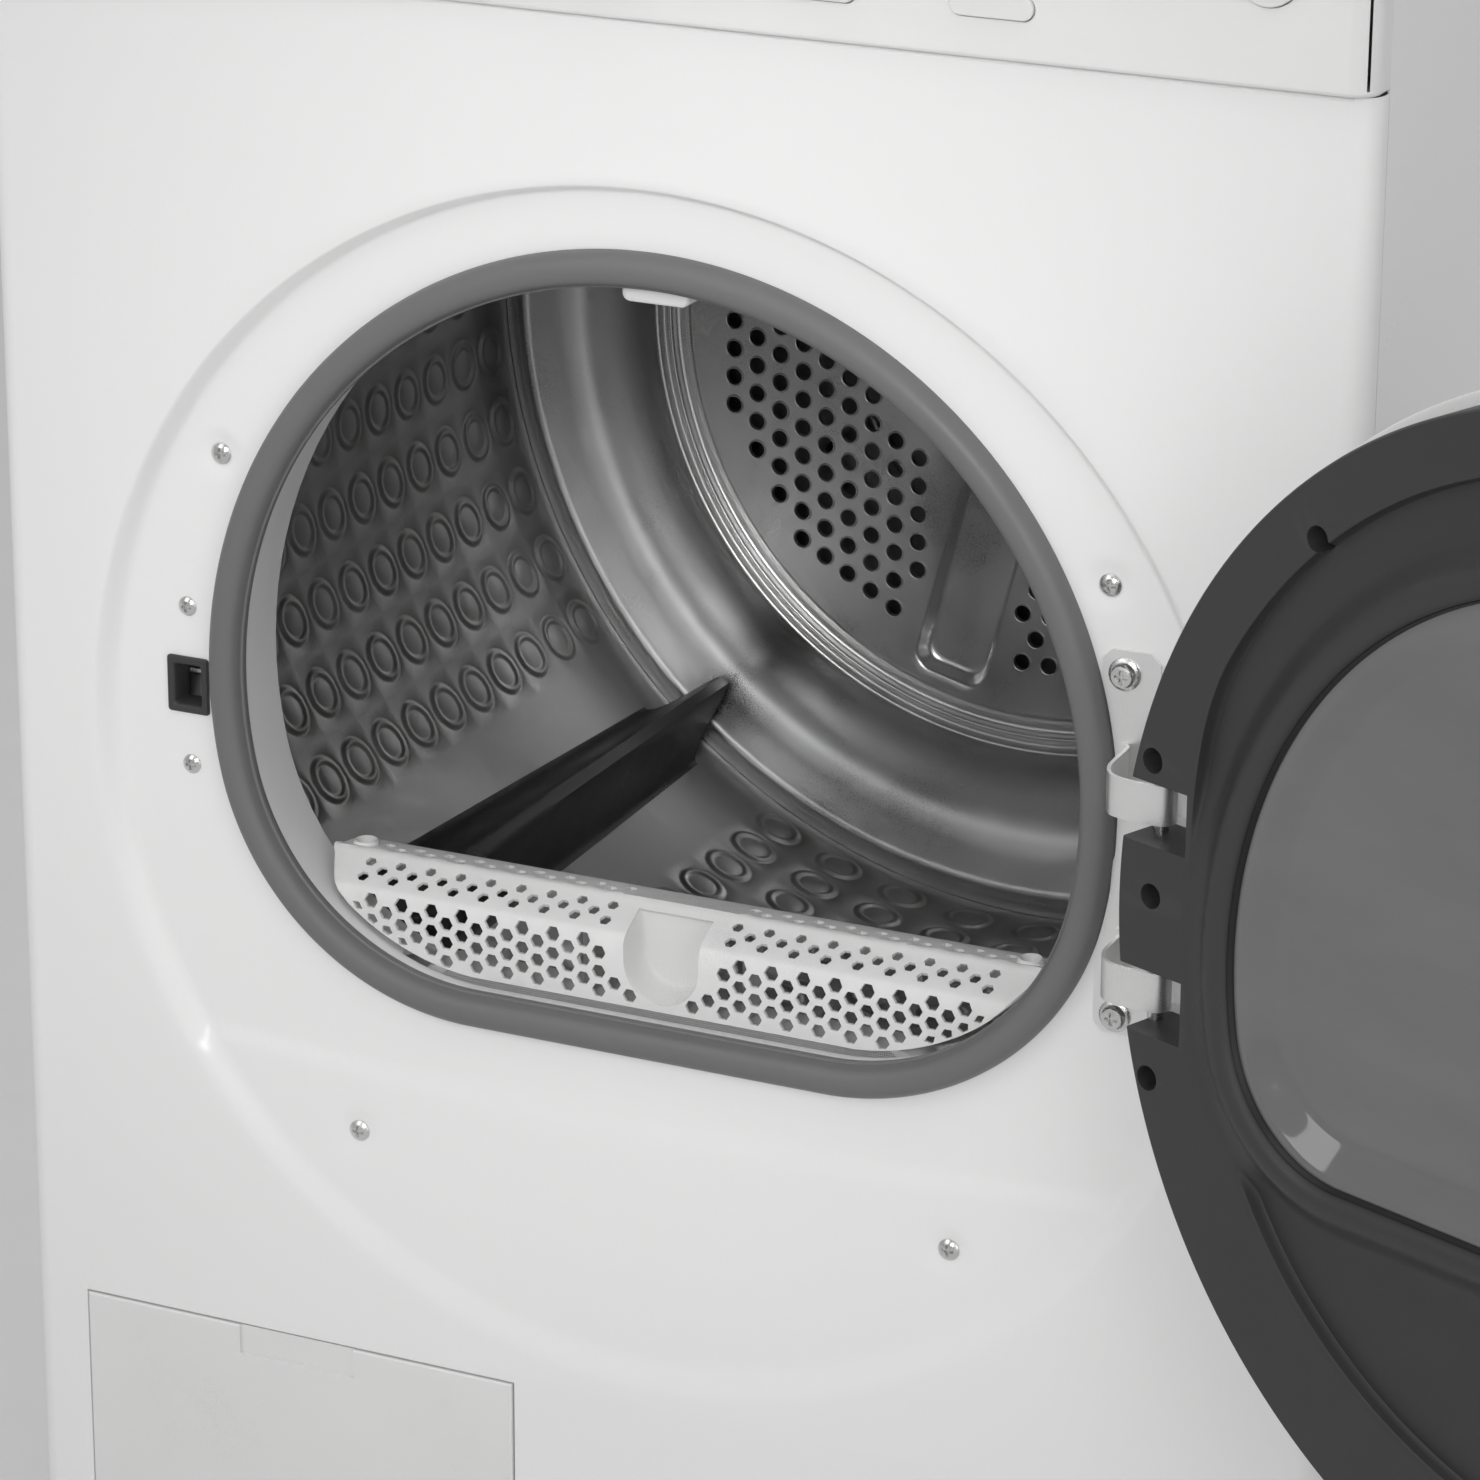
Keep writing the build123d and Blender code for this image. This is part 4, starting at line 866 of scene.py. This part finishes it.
def lifter(number, angle):
    """A tapering fin with hollow flanks and a rounded ridge."""
    near, far = 58.0, 397.0
    across, along = 28, 36
    rows = []
    for k in range(along + 1):
        t = k / along
        foot = FOOT_NEAR + (FOOT_FAR - FOOT_NEAR) * t
        height = FIN_HEIGHT + FIN_GROWTH * t
        rows.append([])
        for i in range(across + 1):
            p = -1 + 2 * i / across
            flank = max(abs(p) - 0.13, 0) / 0.87
            rise = height * cos(pi / 2 * flank**0.85) ** 2.1
            lean = 5.0 * (rise / height) ** 2 if k == along else 0.0
            u = p * foot
            depth = near + (far - 5 - near) * t + lean
            rows[-1].append(drum_point(angle + degrees(u / DRUM_R), depth, DRUM_R - 0.5 - rise))
    fin = Mesh().rows(rows, closed=False)
    spread = [-1 + 2 * i / across for i in range(across + 1)]
    for end, depth, foot in ((0, near - 4, FOOT_NEAR), (-1, far - 4, FOOT_FAR)):
        base = [drum_point(angle + degrees(p * foot / DRUM_R), depth, DRUM_R - 0.4) for p in spread]
        fin.rows([rows[end], base], closed=False)
    return build(f"lifter_fin_{number}", fin, BLACK, "drum", [f"lifter_{number}"], 45)


# ---- lint filter ----

HEX_PITCH = 7.11
HEX_ROW = 8.3


LID_INSET = 15.5


def lid_half_width(rise):
    """Half the lid's width, which the loading mouth inside the seal limits."""
    return seal_half_width(rise, LID_INSET)


LID_FRONT = (
    (12.0, -121.2), (12.0, -108.0), (12.0, -97.0), (12.5, -93.6), (14.4, -90.9), (20.0, -87.6), (26.4, -84.1),
)
LID_RIDGE = (
    (27.6, -82.9), (29.0, -81.6), (30.8, -81.3), (32.4, -82.2), (34.0, -82.9), (42.0, -83.8), (48.0, -84.9),
    (49.4, -87.0), (49.6, -97.0),
)
LID_PATH = rounded(LID_FRONT, 5) + rounded(LID_RIDGE, 4)
LID_STEPS = [hypot(d1 - d0, z1 - z0) for (d0, z0), (d1, z1) in zip(LID_PATH, LID_PATH[1:])]
LID_LENGTHS = [0.0, *accumulate(LID_STEPS)]


def on_lid(s):
    """Depth and rise at distance s along the lid's bent section."""
    k = 0
    while k < len(LID_LENGTHS) - 2 and LID_LENGTHS[k + 1] < s:
        k += 1
    t = (s - LID_LENGTHS[k]) / (LID_LENGTHS[k + 1] - LID_LENGTHS[k])
    (d0, z0), (d1, z1) = LID_PATH[k], LID_PATH[k + 1]
    return d0 + (d1 - d0) * t, z0 + (z1 - z0) * t


def length_at_rise(rise):
    """Distance along the lid's front where it reaches a rise."""
    k = 0
    while LID_PATH[k + 1][1] < rise:
        k += 1
    t = (rise - LID_PATH[k][1]) / (LID_PATH[k + 1][1] - LID_PATH[k][1])
    return LID_LENGTHS[k] + t * (LID_LENGTHS[k + 1] - LID_LENGTHS[k])


def hexagon(x, s, across, edges):
    """Hexagon of the lattice, pulled in where it would cross the sheet's curved edge."""
    points = []
    for k in range(6):
        a = pi / 3 * k
        u, v = across / sqrt(3) * cos(a), across / sqrt(3) * sin(a)
        scale = 1.0
        while scale > 0.1 and not edges(x + u * scale, s + v * scale):
            scale -= 0.08
        points.append((x + u * scale, s + v * scale))
    return points


def lid_holes():
    total = LID_LENGTHS[-1]
    front_top = length_at_rise(-93.2)

    def inside(x, s):
        if not 0.9 < s < total:
            return False
        return abs(x) < lid_half_width(on_lid(s)[1]) - 1.4

    holes = []
    for side in (-1, 1):
        for k in range(22):
            x = side * (14.25 + HEX_PITCH * k)
            even = k % 2 == 1
            for j in range(5):
                rise = (-95.6 if even else -99.75) - HEX_ROW * j
                if rise < -124 or (abs(x) < 24 and rise > -110) or (abs(x) < 16 and rise > -115):
                    continue
                s = length_at_rise(rise) if rise > -121 else rise + 121.2
                if inside(x, s) and s + 2.9 < front_top + 2:
                    holes.append(hexagon(x, s, 5.5, inside))
            slope = length_at_rise(-88.8) + 4.0
            top = LID_LENGTHS[-1] - 24.6
            for base, rows in ((slope, 3), (top, 3)):
                for j in range(rows):
                    if (j % 2 == 0) == even or abs(x) < 26:
                        continue
                    s = base + (j - 1) * HEX_ROW / 2
                    if abs(x) < lid_half_width(on_lid(s)[1]) - 9:
                        holes.append(hexagon(x, s, 4.5, inside))
    return holes


RECESS_R = 17.0
RECESS_RISE = -101.0
RECESS_BACK = 27.0


def recess_outline():
    """The finger recess: a U open towards the ridge, as (x, rise)."""
    top = -84.4
    points = [(-RECESS_R, top - (top - RECESS_RISE) * k / 8) for k in range(8)]
    for k in range(25):
        a = radians(180 + 7.5 * k)
        points.append((RECESS_R * cos(a), RECESS_RISE + RECESS_R * sin(a)))
    return points + [(RECESS_R, RECESS_RISE + (top - RECESS_RISE) * k / 8) for k in range(1, 9)]


def filter_lid():
    total = LID_LENGTHS[-1]
    places = [total * k / 90 for k in range(91)]
    left = [(-lid_half_width(on_lid(s)[1]), s) for s in places]
    outline = left + [(-x, s) for x, s in reversed(left)]
    u_shape = recess_outline()
    opening = [(x, length_at_rise(z)) for x, z in u_shape]
    holes = lid_holes()
    busy = [(min(p[1] for p in h), max(p[1] for p in h)) for h in holes]
    runs = []
    for d, z in LID_PATH[2:-1:2]:
        s = LID_LENGTHS[LID_PATH.index((d, z))]
        half = lid_half_width(z) - 0.5
        if any(lo - 0.2 < s < hi + 0.2 for lo, hi in busy):
            continue
        x_in = RECESS_R + 0.8 if min(o[1] for o in opening) < s < max(o[1] for o in opening) + 0.3 else 0.0
        for a, b in ((-half, -x_in), (x_in, half)):
            runs.append([(a + (b - a) * k / 24, s) for k in range(25)])
    flat, faces = cut_sheet(outline, [*holes, opening], runs)
    lid = Mesh()
    lid.add([at(x, *on_lid(min(s, total - 1e-6))) for x, s in flat], faces)
    piece = build("filter_lid", lid, FILTER, "filter", ["filter_cassette"], 32)
    return thicken(piece, 1.5, 1.0)


def filter_body():
    """Finger pocket, guide pegs, slit walls and the lint pocket under the lid."""
    body = Mesh()
    u_shape = recess_outline()
    rows = []
    for t, tuck in ((0.0, 0.0), (0.06, 0.3), (0.4, 0.8), (0.8, 1.3), (0.94, 2.2), (1.0, 3.6)):
        row = []
        for x, z in u_shape:
            front = on_lid(length_at_rise(z))[0]
            shrink = 1 - tuck / RECESS_R
            zz = RECESS_RISE + (z - RECESS_RISE) * shrink if z < RECESS_RISE else z
            row.append(at(x * shrink, front + (max(RECESS_BACK, front + 0.4) - front) * t, zz))
        rows.append(row)
    body.rows(rows, closed=False)
    body.cap(rows[-1])
    peg = ((-90, 5.6), (-81.8, 5.6), (-80.2, 5.3), (-79.6, 4.6), (-80.0, 3.9), (-81.6, 2.2), (-82.2, 0.05))
    for side in (-1, 1):
        body.rows([[at(side * 152 + u, 37.5 + v, rise) for u, v in polygon(r, 40)] for rise, r in peg])
        for x in (35.6 * side, 37.0 * side):
            body.rows([[at(x, d, z) for d in (13.6, 30)] for z in (-120, -92)], closed=False)
    half, near, far, top, bottom = 115.5, 15.5, 33.2, -120.5, -249.5

    section = ((9, near), (1, near), (0, near + 1), (0, far - 1), (1, far), (9, far))
    body.rows([frame_loop(-half + e, half - e, bottom + e, top, 10, d, 6) for e, d in section])
    return build("filter_body", body, FILTER, "filter", (), 40)


def filter_cloths():
    """Front and rear cloth of the lint pocket, each sagging inwards between four ribs."""
    cloths = Mesh()
    for depth, inwards in ((16.3, 1), (32.4, -1)):
        rows = []
        for k in range(9):
            sag = 0.5 * inwards * sin(pi * k / 8)
            z = -240 + 118 * k / 8
            rows.append([at(-107 + 214 * i / 16, depth + sag * abs(sin(pi * i / 4)), z) for i in range(17)])
        cloths.rows(rows, closed=False)
    return thicken(build("filter_cloths", cloths, CLOTH, "filter"), 0.4, 0)


# ---- door, drawn shut and swung open ----


def glass_spine(count):
    return d_spine(GLASS_R, GLASS_FLAT, GLASS_CORNER, count, GLASS_RISE)


def around_door(x, rise):
    """Angle about the door's centre, in degrees from the hinge side, the same on both sides."""
    return degrees(atan2(rise - DOOR_RISE, abs(x)))


def step_radius(angle):
    """Where the door's flat ring steps down to the sunken crescent."""
    if angle >= 30:
        return 213.5
    if angle >= 5:
        return 201.5 + 12 * smooth_step((angle - 2) / 28)
    return 195 - 4 * smooth_step((-angle - 30) / 50)


def carve(piece, shapes, crease):
    """Cuts closed shapes out of a piece's mesh."""
    cutter = bpy.data.objects.new("cutter", mesh_of("cutter", shapes))
    SCENE.collection.objects.link(cutter)
    cut = piece.modifiers.new("cut", "BOOLEAN")
    cut.operation = "DIFFERENCE"
    cut.solver = "EXACT"
    cut.object = cutter
    graph = bpy.context.evaluated_depsgraph_get()
    result = bpy.data.meshes.new_from_object(piece.evaluated_get(graph))
    piece.modifiers.remove(cut)
    piece.data = result
    result.shade_smooth()
    result.set_sharp_from_angle(angle=radians(crease))
    bpy.data.objects.remove(cutter)
    return piece


def plug(shapes, points_near, points_far):
    """A closed prism between two matching outlines."""
    shapes.rows([points_near, points_far])
    shapes.cap(points_near)
    shapes.cap(points_far[::-1])


def box_plug(shapes, x0, x1, near, far, z0, z1):
    corners = ((x0, z0), (x1, z0), (x1, z1), (x0, z1))
    plug(shapes, [at(x, near, z) for x, z in corners], [at(x, far, z) for x, z in corners])


def notch_plugs(near, far):
    """Boxes that cut the hinge's two notches."""
    shapes = Mesh()
    for low, high in NOTCHES:
        box_plug(shapes, 205, 262, near, far, low, high)
    return shapes


def swung_plug(shapes):
    turn = door_turn()
    shapes.verts = [turn @ Vector(v) for v in shapes.verts]
    return shapes


def door_frame():
    """The dark inner frame: flat ring, sunken crescent and a raised collar round the glass."""
    spine = glass_spine(432)
    rows = []
    collar = (
        (-2.0, -22.0), (-2.0, -13.2), (-1.2, -11.4), (0.4, -10.2), (2.6, -9.6), (5.2, -9.6), (7.6, -10.4),
        (9.8, -12.2), (12.0, -14.3), (14.6, -16.2), (17.4, -17.6),
    )
    toe = [d_point(s, 20.0) for s in spine]
    sunk, steps, aims = [], [], []
    for x, z in toe:
        near = hypot(x, z - DOOR_RISE)
        step = max(step_radius(around_door(x, z)), near + 0.4)
        sunk.append(5.6 * smooth_step((step - near) / 9))
        steps.append(step)
        aims.append(atan2(z - DOOR_RISE, x))
    for offset, depth in collar:
        row = []
        for sample, low in zip(spine, sunk):
            x, z = d_point(sample, offset)
            foot = smooth_step((offset - 9) / 11)
            row.append(at(x, depth - (low - 3.0) * foot * 0.9 if offset > 9 else depth, z))
        rows.append(row)

    def ray(reach, share=0.0, depth=DOOR_FACE):
        places = zip(aims, reach, sunk)
        return [at(r * cos(a), depth - low * share, DOOR_RISE + r * sin(a)) for a, r, low in places]

    nears = [hypot(x, z - DOOR_RISE) for x, z in toe]
    for t in (0.0, 0.15, 0.4, 0.7, 0.9, 1.0):
        rows.append(ray([n + (s - n) * t for n, s in zip(nears, steps)], 1.0))
    for grow, share in ((0.5, 0.92), (1.1, 0.5), (1.7, 0.08), (2.3, 0.0)):
        rows.append(ray([s + grow for s in steps], share))
    for t in (0.08, 0.5, 0.97):
        rows.append(ray([s + 2.3 + (237.4 - s - 2.3) * t for s in steps]))
    edge = (
        (DOOR_R - 0.9, -15.6), (DOOR_R - 0.25, -16.2), (DOOR_R, -17.2), (DOOR_R, -38.5), (237.5, DOOR_BACK),
        (CAVITY_R, DOOR_BACK), (CAVITY_R, -25.5),
    )
    for radius, depth in edge:
        rows.append(ray([radius] * len(aims), 0.0, depth))
    rows.append(d_row(spine, 6.0, -25.5))
    rows.append(d_row(spine, 1.0, -23.5))
    body = Mesh().rows(rows, loop=True)
    piece = door_piece("door_frame", body, ANTHRACITE, "door_inner_frame", 38)
    shapes = notch_plugs(-60, 0)
    for x, z in DOOR_SCREWS:
        side = circle_row(5.2, 0, x, z + DOOR_RISE, 32)
        plug(shapes, side, circle_row(4.9, -31, x, z + DOOR_RISE, 32))
    carve(piece, swung_plug(shapes), 38)
    return soften(piece, 0.5)


def door_gasket():
    spine = glass_spine(432)
    profile = (
        (-2.6, -19.0), (-3.2, -17.4), (-3.4, -15.9), (-3.0, -14.6), (-2.4, -13.6), (-2.2, -13.0),
        (-1.4, -14.2), (-0.6, -14.9), (0.6, -15.1), (1.6, -14.6), (2.2, -14.2), (3.0, -14.4),
    )
    ring = Mesh().rows([d_row(spine, offset, depth) for offset, depth in profile])
    return thicken(door_piece("glass_ring", ring, RUBBER, "glass_gasket", 60), 1.0, -1)


def glass_dish():
    """The pane: a sloped band falling to a flat centre."""
    spine = glass_spine(360)
    band = (
        (-1.0, -19.6), (-2.6, -17.9), (-4.4, -17.6), (-6.2, -18.4), (-9.5, -21.0), (-14.0, -24.6),
        (-17.5, -26.4), (-22.0, -27.2),
    )
    rows = [d_row(spine, offset, depth) for offset, depth in rounded(band, 3)]
    for t in (0.75, 0.5, 0.25):
        row = []
        for sample in spine:
            x, z = d_point(sample, -22.0)
            row.append(at(x * t, -27.2 - 1.6 * (1 - t * t), GLASS_RISE + (z - GLASS_RISE) * t))
        rows.append(row)
    pane = Mesh().rows(rows)
    pane.fan(rows[-1], at(0, -28.9, GLASS_RISE))
    return thicken(door_piece("glass_pane", pane, SMOKED, "door_glass", 40), 2.0, 1)


def outer_rim():
    profile = [
        (DOOR_BACK, 228.0), (DOOR_BACK, RIM_R - 2), (DOOR_BACK - 0.5, RIM_R - 0.6), (DOOR_BACK - 1.8, RIM_R),
        (DOOR_BACK - 4.5, RIM_R), (DOOR_BACK - 7.0, RIM_R - 1.1), (DOOR_BACK - 9.2, RIM_R - 3.6),
        (DOOR_BACK - 11.2, RIM_R - 7.4), (DOOR_BACK - 12.8, RIM_R - 12.4), (DOOR_FRONT + 0.3, RIM_R - 16),
        (DOOR_FRONT, RIM_R - 21), (DOOR_FRONT, 204), (DOOR_FRONT + 0.4, 200.5), (DOOR_FRONT + 2.5, 199.2),
        (DOOR_FRONT + 8, 199.0), (DOOR_BACK, 213.0),
    ]
    ring = Mesh().rows(turned(profile, 0, DOOR_RISE, 288), loop=True)
    rim = door_piece("door_rim", ring, WHITE, "door_outer_ring", 32)
    shapes = notch_plugs(-47, -30)
    box_plug(shapes, -RIM_R - 6, -RIM_R + 18, DOOR_BACK - 9, DOOR_BACK - 1, DOOR_RISE - 42, DOOR_RISE + 42)
    carve(rim, swung_plug(shapes), 32)
    return rim


def window_cover():
    bulge = (
        (-2.9, 0.05), (-2.7, 50), (-2.1, 100), (-1.1, 150), (-0.1, 190), (0.5, 197.5), (1.4, 198.4),
        (3.5, 198.2),
    )
    profile = rounded([(DOOR_FRONT + depth, radius) for depth, radius in bulge], 5)
    pane = Mesh().rows(turned(profile, 0, DOOR_RISE, 240))
    piece = door_piece("outer_window", pane, DISPLAY, "door_window_cover", 40)
    return thicken(piece, 1.6, 1)


def door_screw_heads():
    heads = Mesh()
    for x, z in DOOR_SCREWS:
        screw_rows(heads, x, z + DOOR_RISE, -26.8, 4.1, 1.5)
    return door_piece("door_screw_heads", heads, BRIGHT, "door_screws", 32)


# ---- hinge ----

NOTCHES = ((11.0, 36.0), (-65.5, -39.5))
ARM_MIDDLES = (22.6, -53.4)
CURL_R = 4.6


def hinge_leaf():
    """Plate screwed to the dish, with two straps that step forward and curl round the pin."""
    leaf = Mesh()
    low, high, right, corner = -88.5, 69.5, 218.6, 4.0
    rows = []
    for k in range(41):
        z = low + (high - low) * k / 40
        tuck = max(corner - min(z - low, high - z), 0)
        round_in = corner - sqrt(corner**2 - tuck**2)
        left = max(194.6 + round_in, seal_half_width(z) + 0.8)
        rows.append([at(left + (right - round_in - left) * c / 6, -0.05, z) for c in range(7)])
    leaf.rows(rows, closed=False)
    path = [
        (203.6, -1.6), (206.0, -1.8), (207.4, -3.2), (207.9, -7.0), (208.0, -18.0), (208.6, -25.0),
        (211.4, -30.6), (216.5, -33.6), (224.0, -35.0), (229.5, -35.5),
    ]
    for k in range(9):
        a = radians(-90 + 20 * k)
        path.append((HINGE_X + CURL_R * cos(a), HINGE_DEPTH + CURL_R * sin(a)))
    fine = rounded(path, 3)
    for middle in ARM_MIDDLES:
        rows = []
        for k, (x, d) in enumerate(fine):
            half = 9.6 - 1.6 * smooth_step(k / 24)
            rows.append([at(x, d, middle + half * (-1 + 2 * c / 8)) for c in range(9)])
        leaf.rows(rows, closed=False)
    piece = build("hinge_leaf", leaf, PLATE_STEEL, "cabinet", ["hinge_plate"], 40)
    thicken(piece, 1.5, 1.0)
    return soften(piece, 0.3)


# ---- strike and lamp ----


def strike():
    """Moulded frame with a funnel that narrows to the catch's pocket."""
    x0, x1, z0, z1 = -223.8, -204.2, -20.8, 3.8
    rows = [
        frame_loop(x0 + g, x1 - g, z0 + g, z1 - g, c, d)
        for g, c, d in (
            (0.0, 1.4, 0.0), (0.0, 1.4, -1.0), (0.5, 1.2, -1.6), (2.6, 1.0, -1.6), (3.1, 0.9, -1.3),
            (3.6, 0.9, -0.5), (4.2, 0.9, 4.0), (4.6, 0.9, 8.5), (4.4, 0.9, 8.5), (1.4, 1.2, 1.0),
        )
    ]
    socket = Mesh().rows(rows)
    return build("strike_frame", socket, ANTHRACITE, "cabinet", ["strike_socket"], 35)


def lamp():
    lo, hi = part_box("lamp_lens")
    half, z0, z1 = (hi.x - lo.x) / 2 / MM, (lo.z - OPENING_Z) / MM, (hi.z - OPENING_Z) / MM
    near, far = (lo.y - DISH_Y) / MM, (hi.y - DISH_Y) / MM
    rows = [
        frame_loop(-half + g, half - g, z0 + g, z1 - g, 3.4 - g, d)
        for g, d in ((0.0, far), (0.0, near + 1.2), (0.35, near + 0.4), (1.1, near), (2.2, near))
    ]
    lens = Mesh().rows(rows).cap(rows[-1])
    return build("lamp_bar", lens, WHITE, "cabinet", ["lamp_lens"], 40)


# ---- lights, floor, camera ----


def floor():
    verts = [(x, y, 0) for y in (-7, 7) for x in (-7, 7)]
    mesh = bpy.data.meshes.new("floor")
    mesh.from_pydata(verts, [], [(0, 1, 3, 2)])
    pale = surface("floor", (0.86, 0.86, 0.86), 0.6, spread=0.01, grain=300, bump=0.03)
    mesh.materials.append(pale)
    ground = bpy.data.objects.new("floor", mesh)
    SCENE.collection.objects.link(ground)


def softbox(name, place, aim, width, height, power, spread=180):
    data = bpy.data.lights.new(name, "AREA")
    data.shape = "RECTANGLE"
    data.size, data.size_y = width, height
    data.energy = power
    data.spread = radians(spread)
    lamp = bpy.data.objects.new(name, data)
    lamp.location = place
    lamp.rotation_mode = "QUATERNION"
    lamp.rotation_quaternion = (Vector(aim) - Vector(place)).to_track_quat("-Z", "Y")
    SCENE.collection.objects.link(lamp)


def lights():
    world = bpy.data.worlds.new("studio")
    world.use_nodes = True
    sky = world.node_tree.nodes["Background"]
    sky.inputs["Color"].default_value = (1, 1, 1, 1)
    sky.inputs["Strength"].default_value = 0.46
    SCENE.world = world
    SCENE.view_settings.view_transform = "Standard"
    softbox("key", (-1.5, -2.6, 2.4), (0, -0.1, 0.45), 1.6, 1.6, 15)
    softbox("fill", (2.6, -2.2, 1.2), (0, -0.1, 0.45), 1.2, 2.0, 13)
    softbox("top", (0.2, -0.9, 3.0), (0, 0, 0.4), 2.2, 1.6, 12)
    softbox("drum_light", (0.55, -1.9, 1.25), (-0.1, 0.1, 0.42), 0.5, 0.6, 0.42, 26)


CAMERA_AIM = (0.0404, -0.237, 0.4471)
CAMERA_AZIMUTH = radians(25.48)
CAMERA_ELEVATION = radians(19.57)
CAMERA_ROLL = radians(0.30)
CAMERA_DISTANCE = 2.2285
CAMERA_LENS = 136.39


def camera():
    a, e = CAMERA_AZIMUTH, CAMERA_ELEVATION
    back = Vector((sin(a) * cos(e), -cos(a) * cos(e), sin(e)))
    data = bpy.data.cameras.new("camera")
    data.lens = CAMERA_LENS
    data.sensor_width = 36
    data.clip_start, data.clip_end = 0.05, 60
    eye = bpy.data.objects.new("camera", data)
    right = Vector((cos(a), sin(a), 0))
    up = back.cross(right)
    r = cos(CAMERA_ROLL) * right + sin(CAMERA_ROLL) * up
    u = -sin(CAMERA_ROLL) * right + cos(CAMERA_ROLL) * up
    turn = Matrix((r, u, back)).transposed().to_4x4()
    eye.matrix_world = Matrix.Translation(Vector(CAMERA_AIM) + back * CAMERA_DISTANCE) @ turn
    SCENE.collection.objects.link(eye)
    SCENE.camera = eye


dress_nodes()
front_skin()
front_screws()
seal()
drum_wall()
drum_end()
for index, lifter_angle in enumerate(LIFTER_ANGLES, start=1):
    lifter(index, lifter_angle)
filter_lid()
filter_body()
filter_cloths()
door_frame()
door_gasket()
glass_dish()
outer_rim()
window_cover()
door_screw_heads()
hinge_leaf()
strike()
lamp()
floor()
lights()
camera()
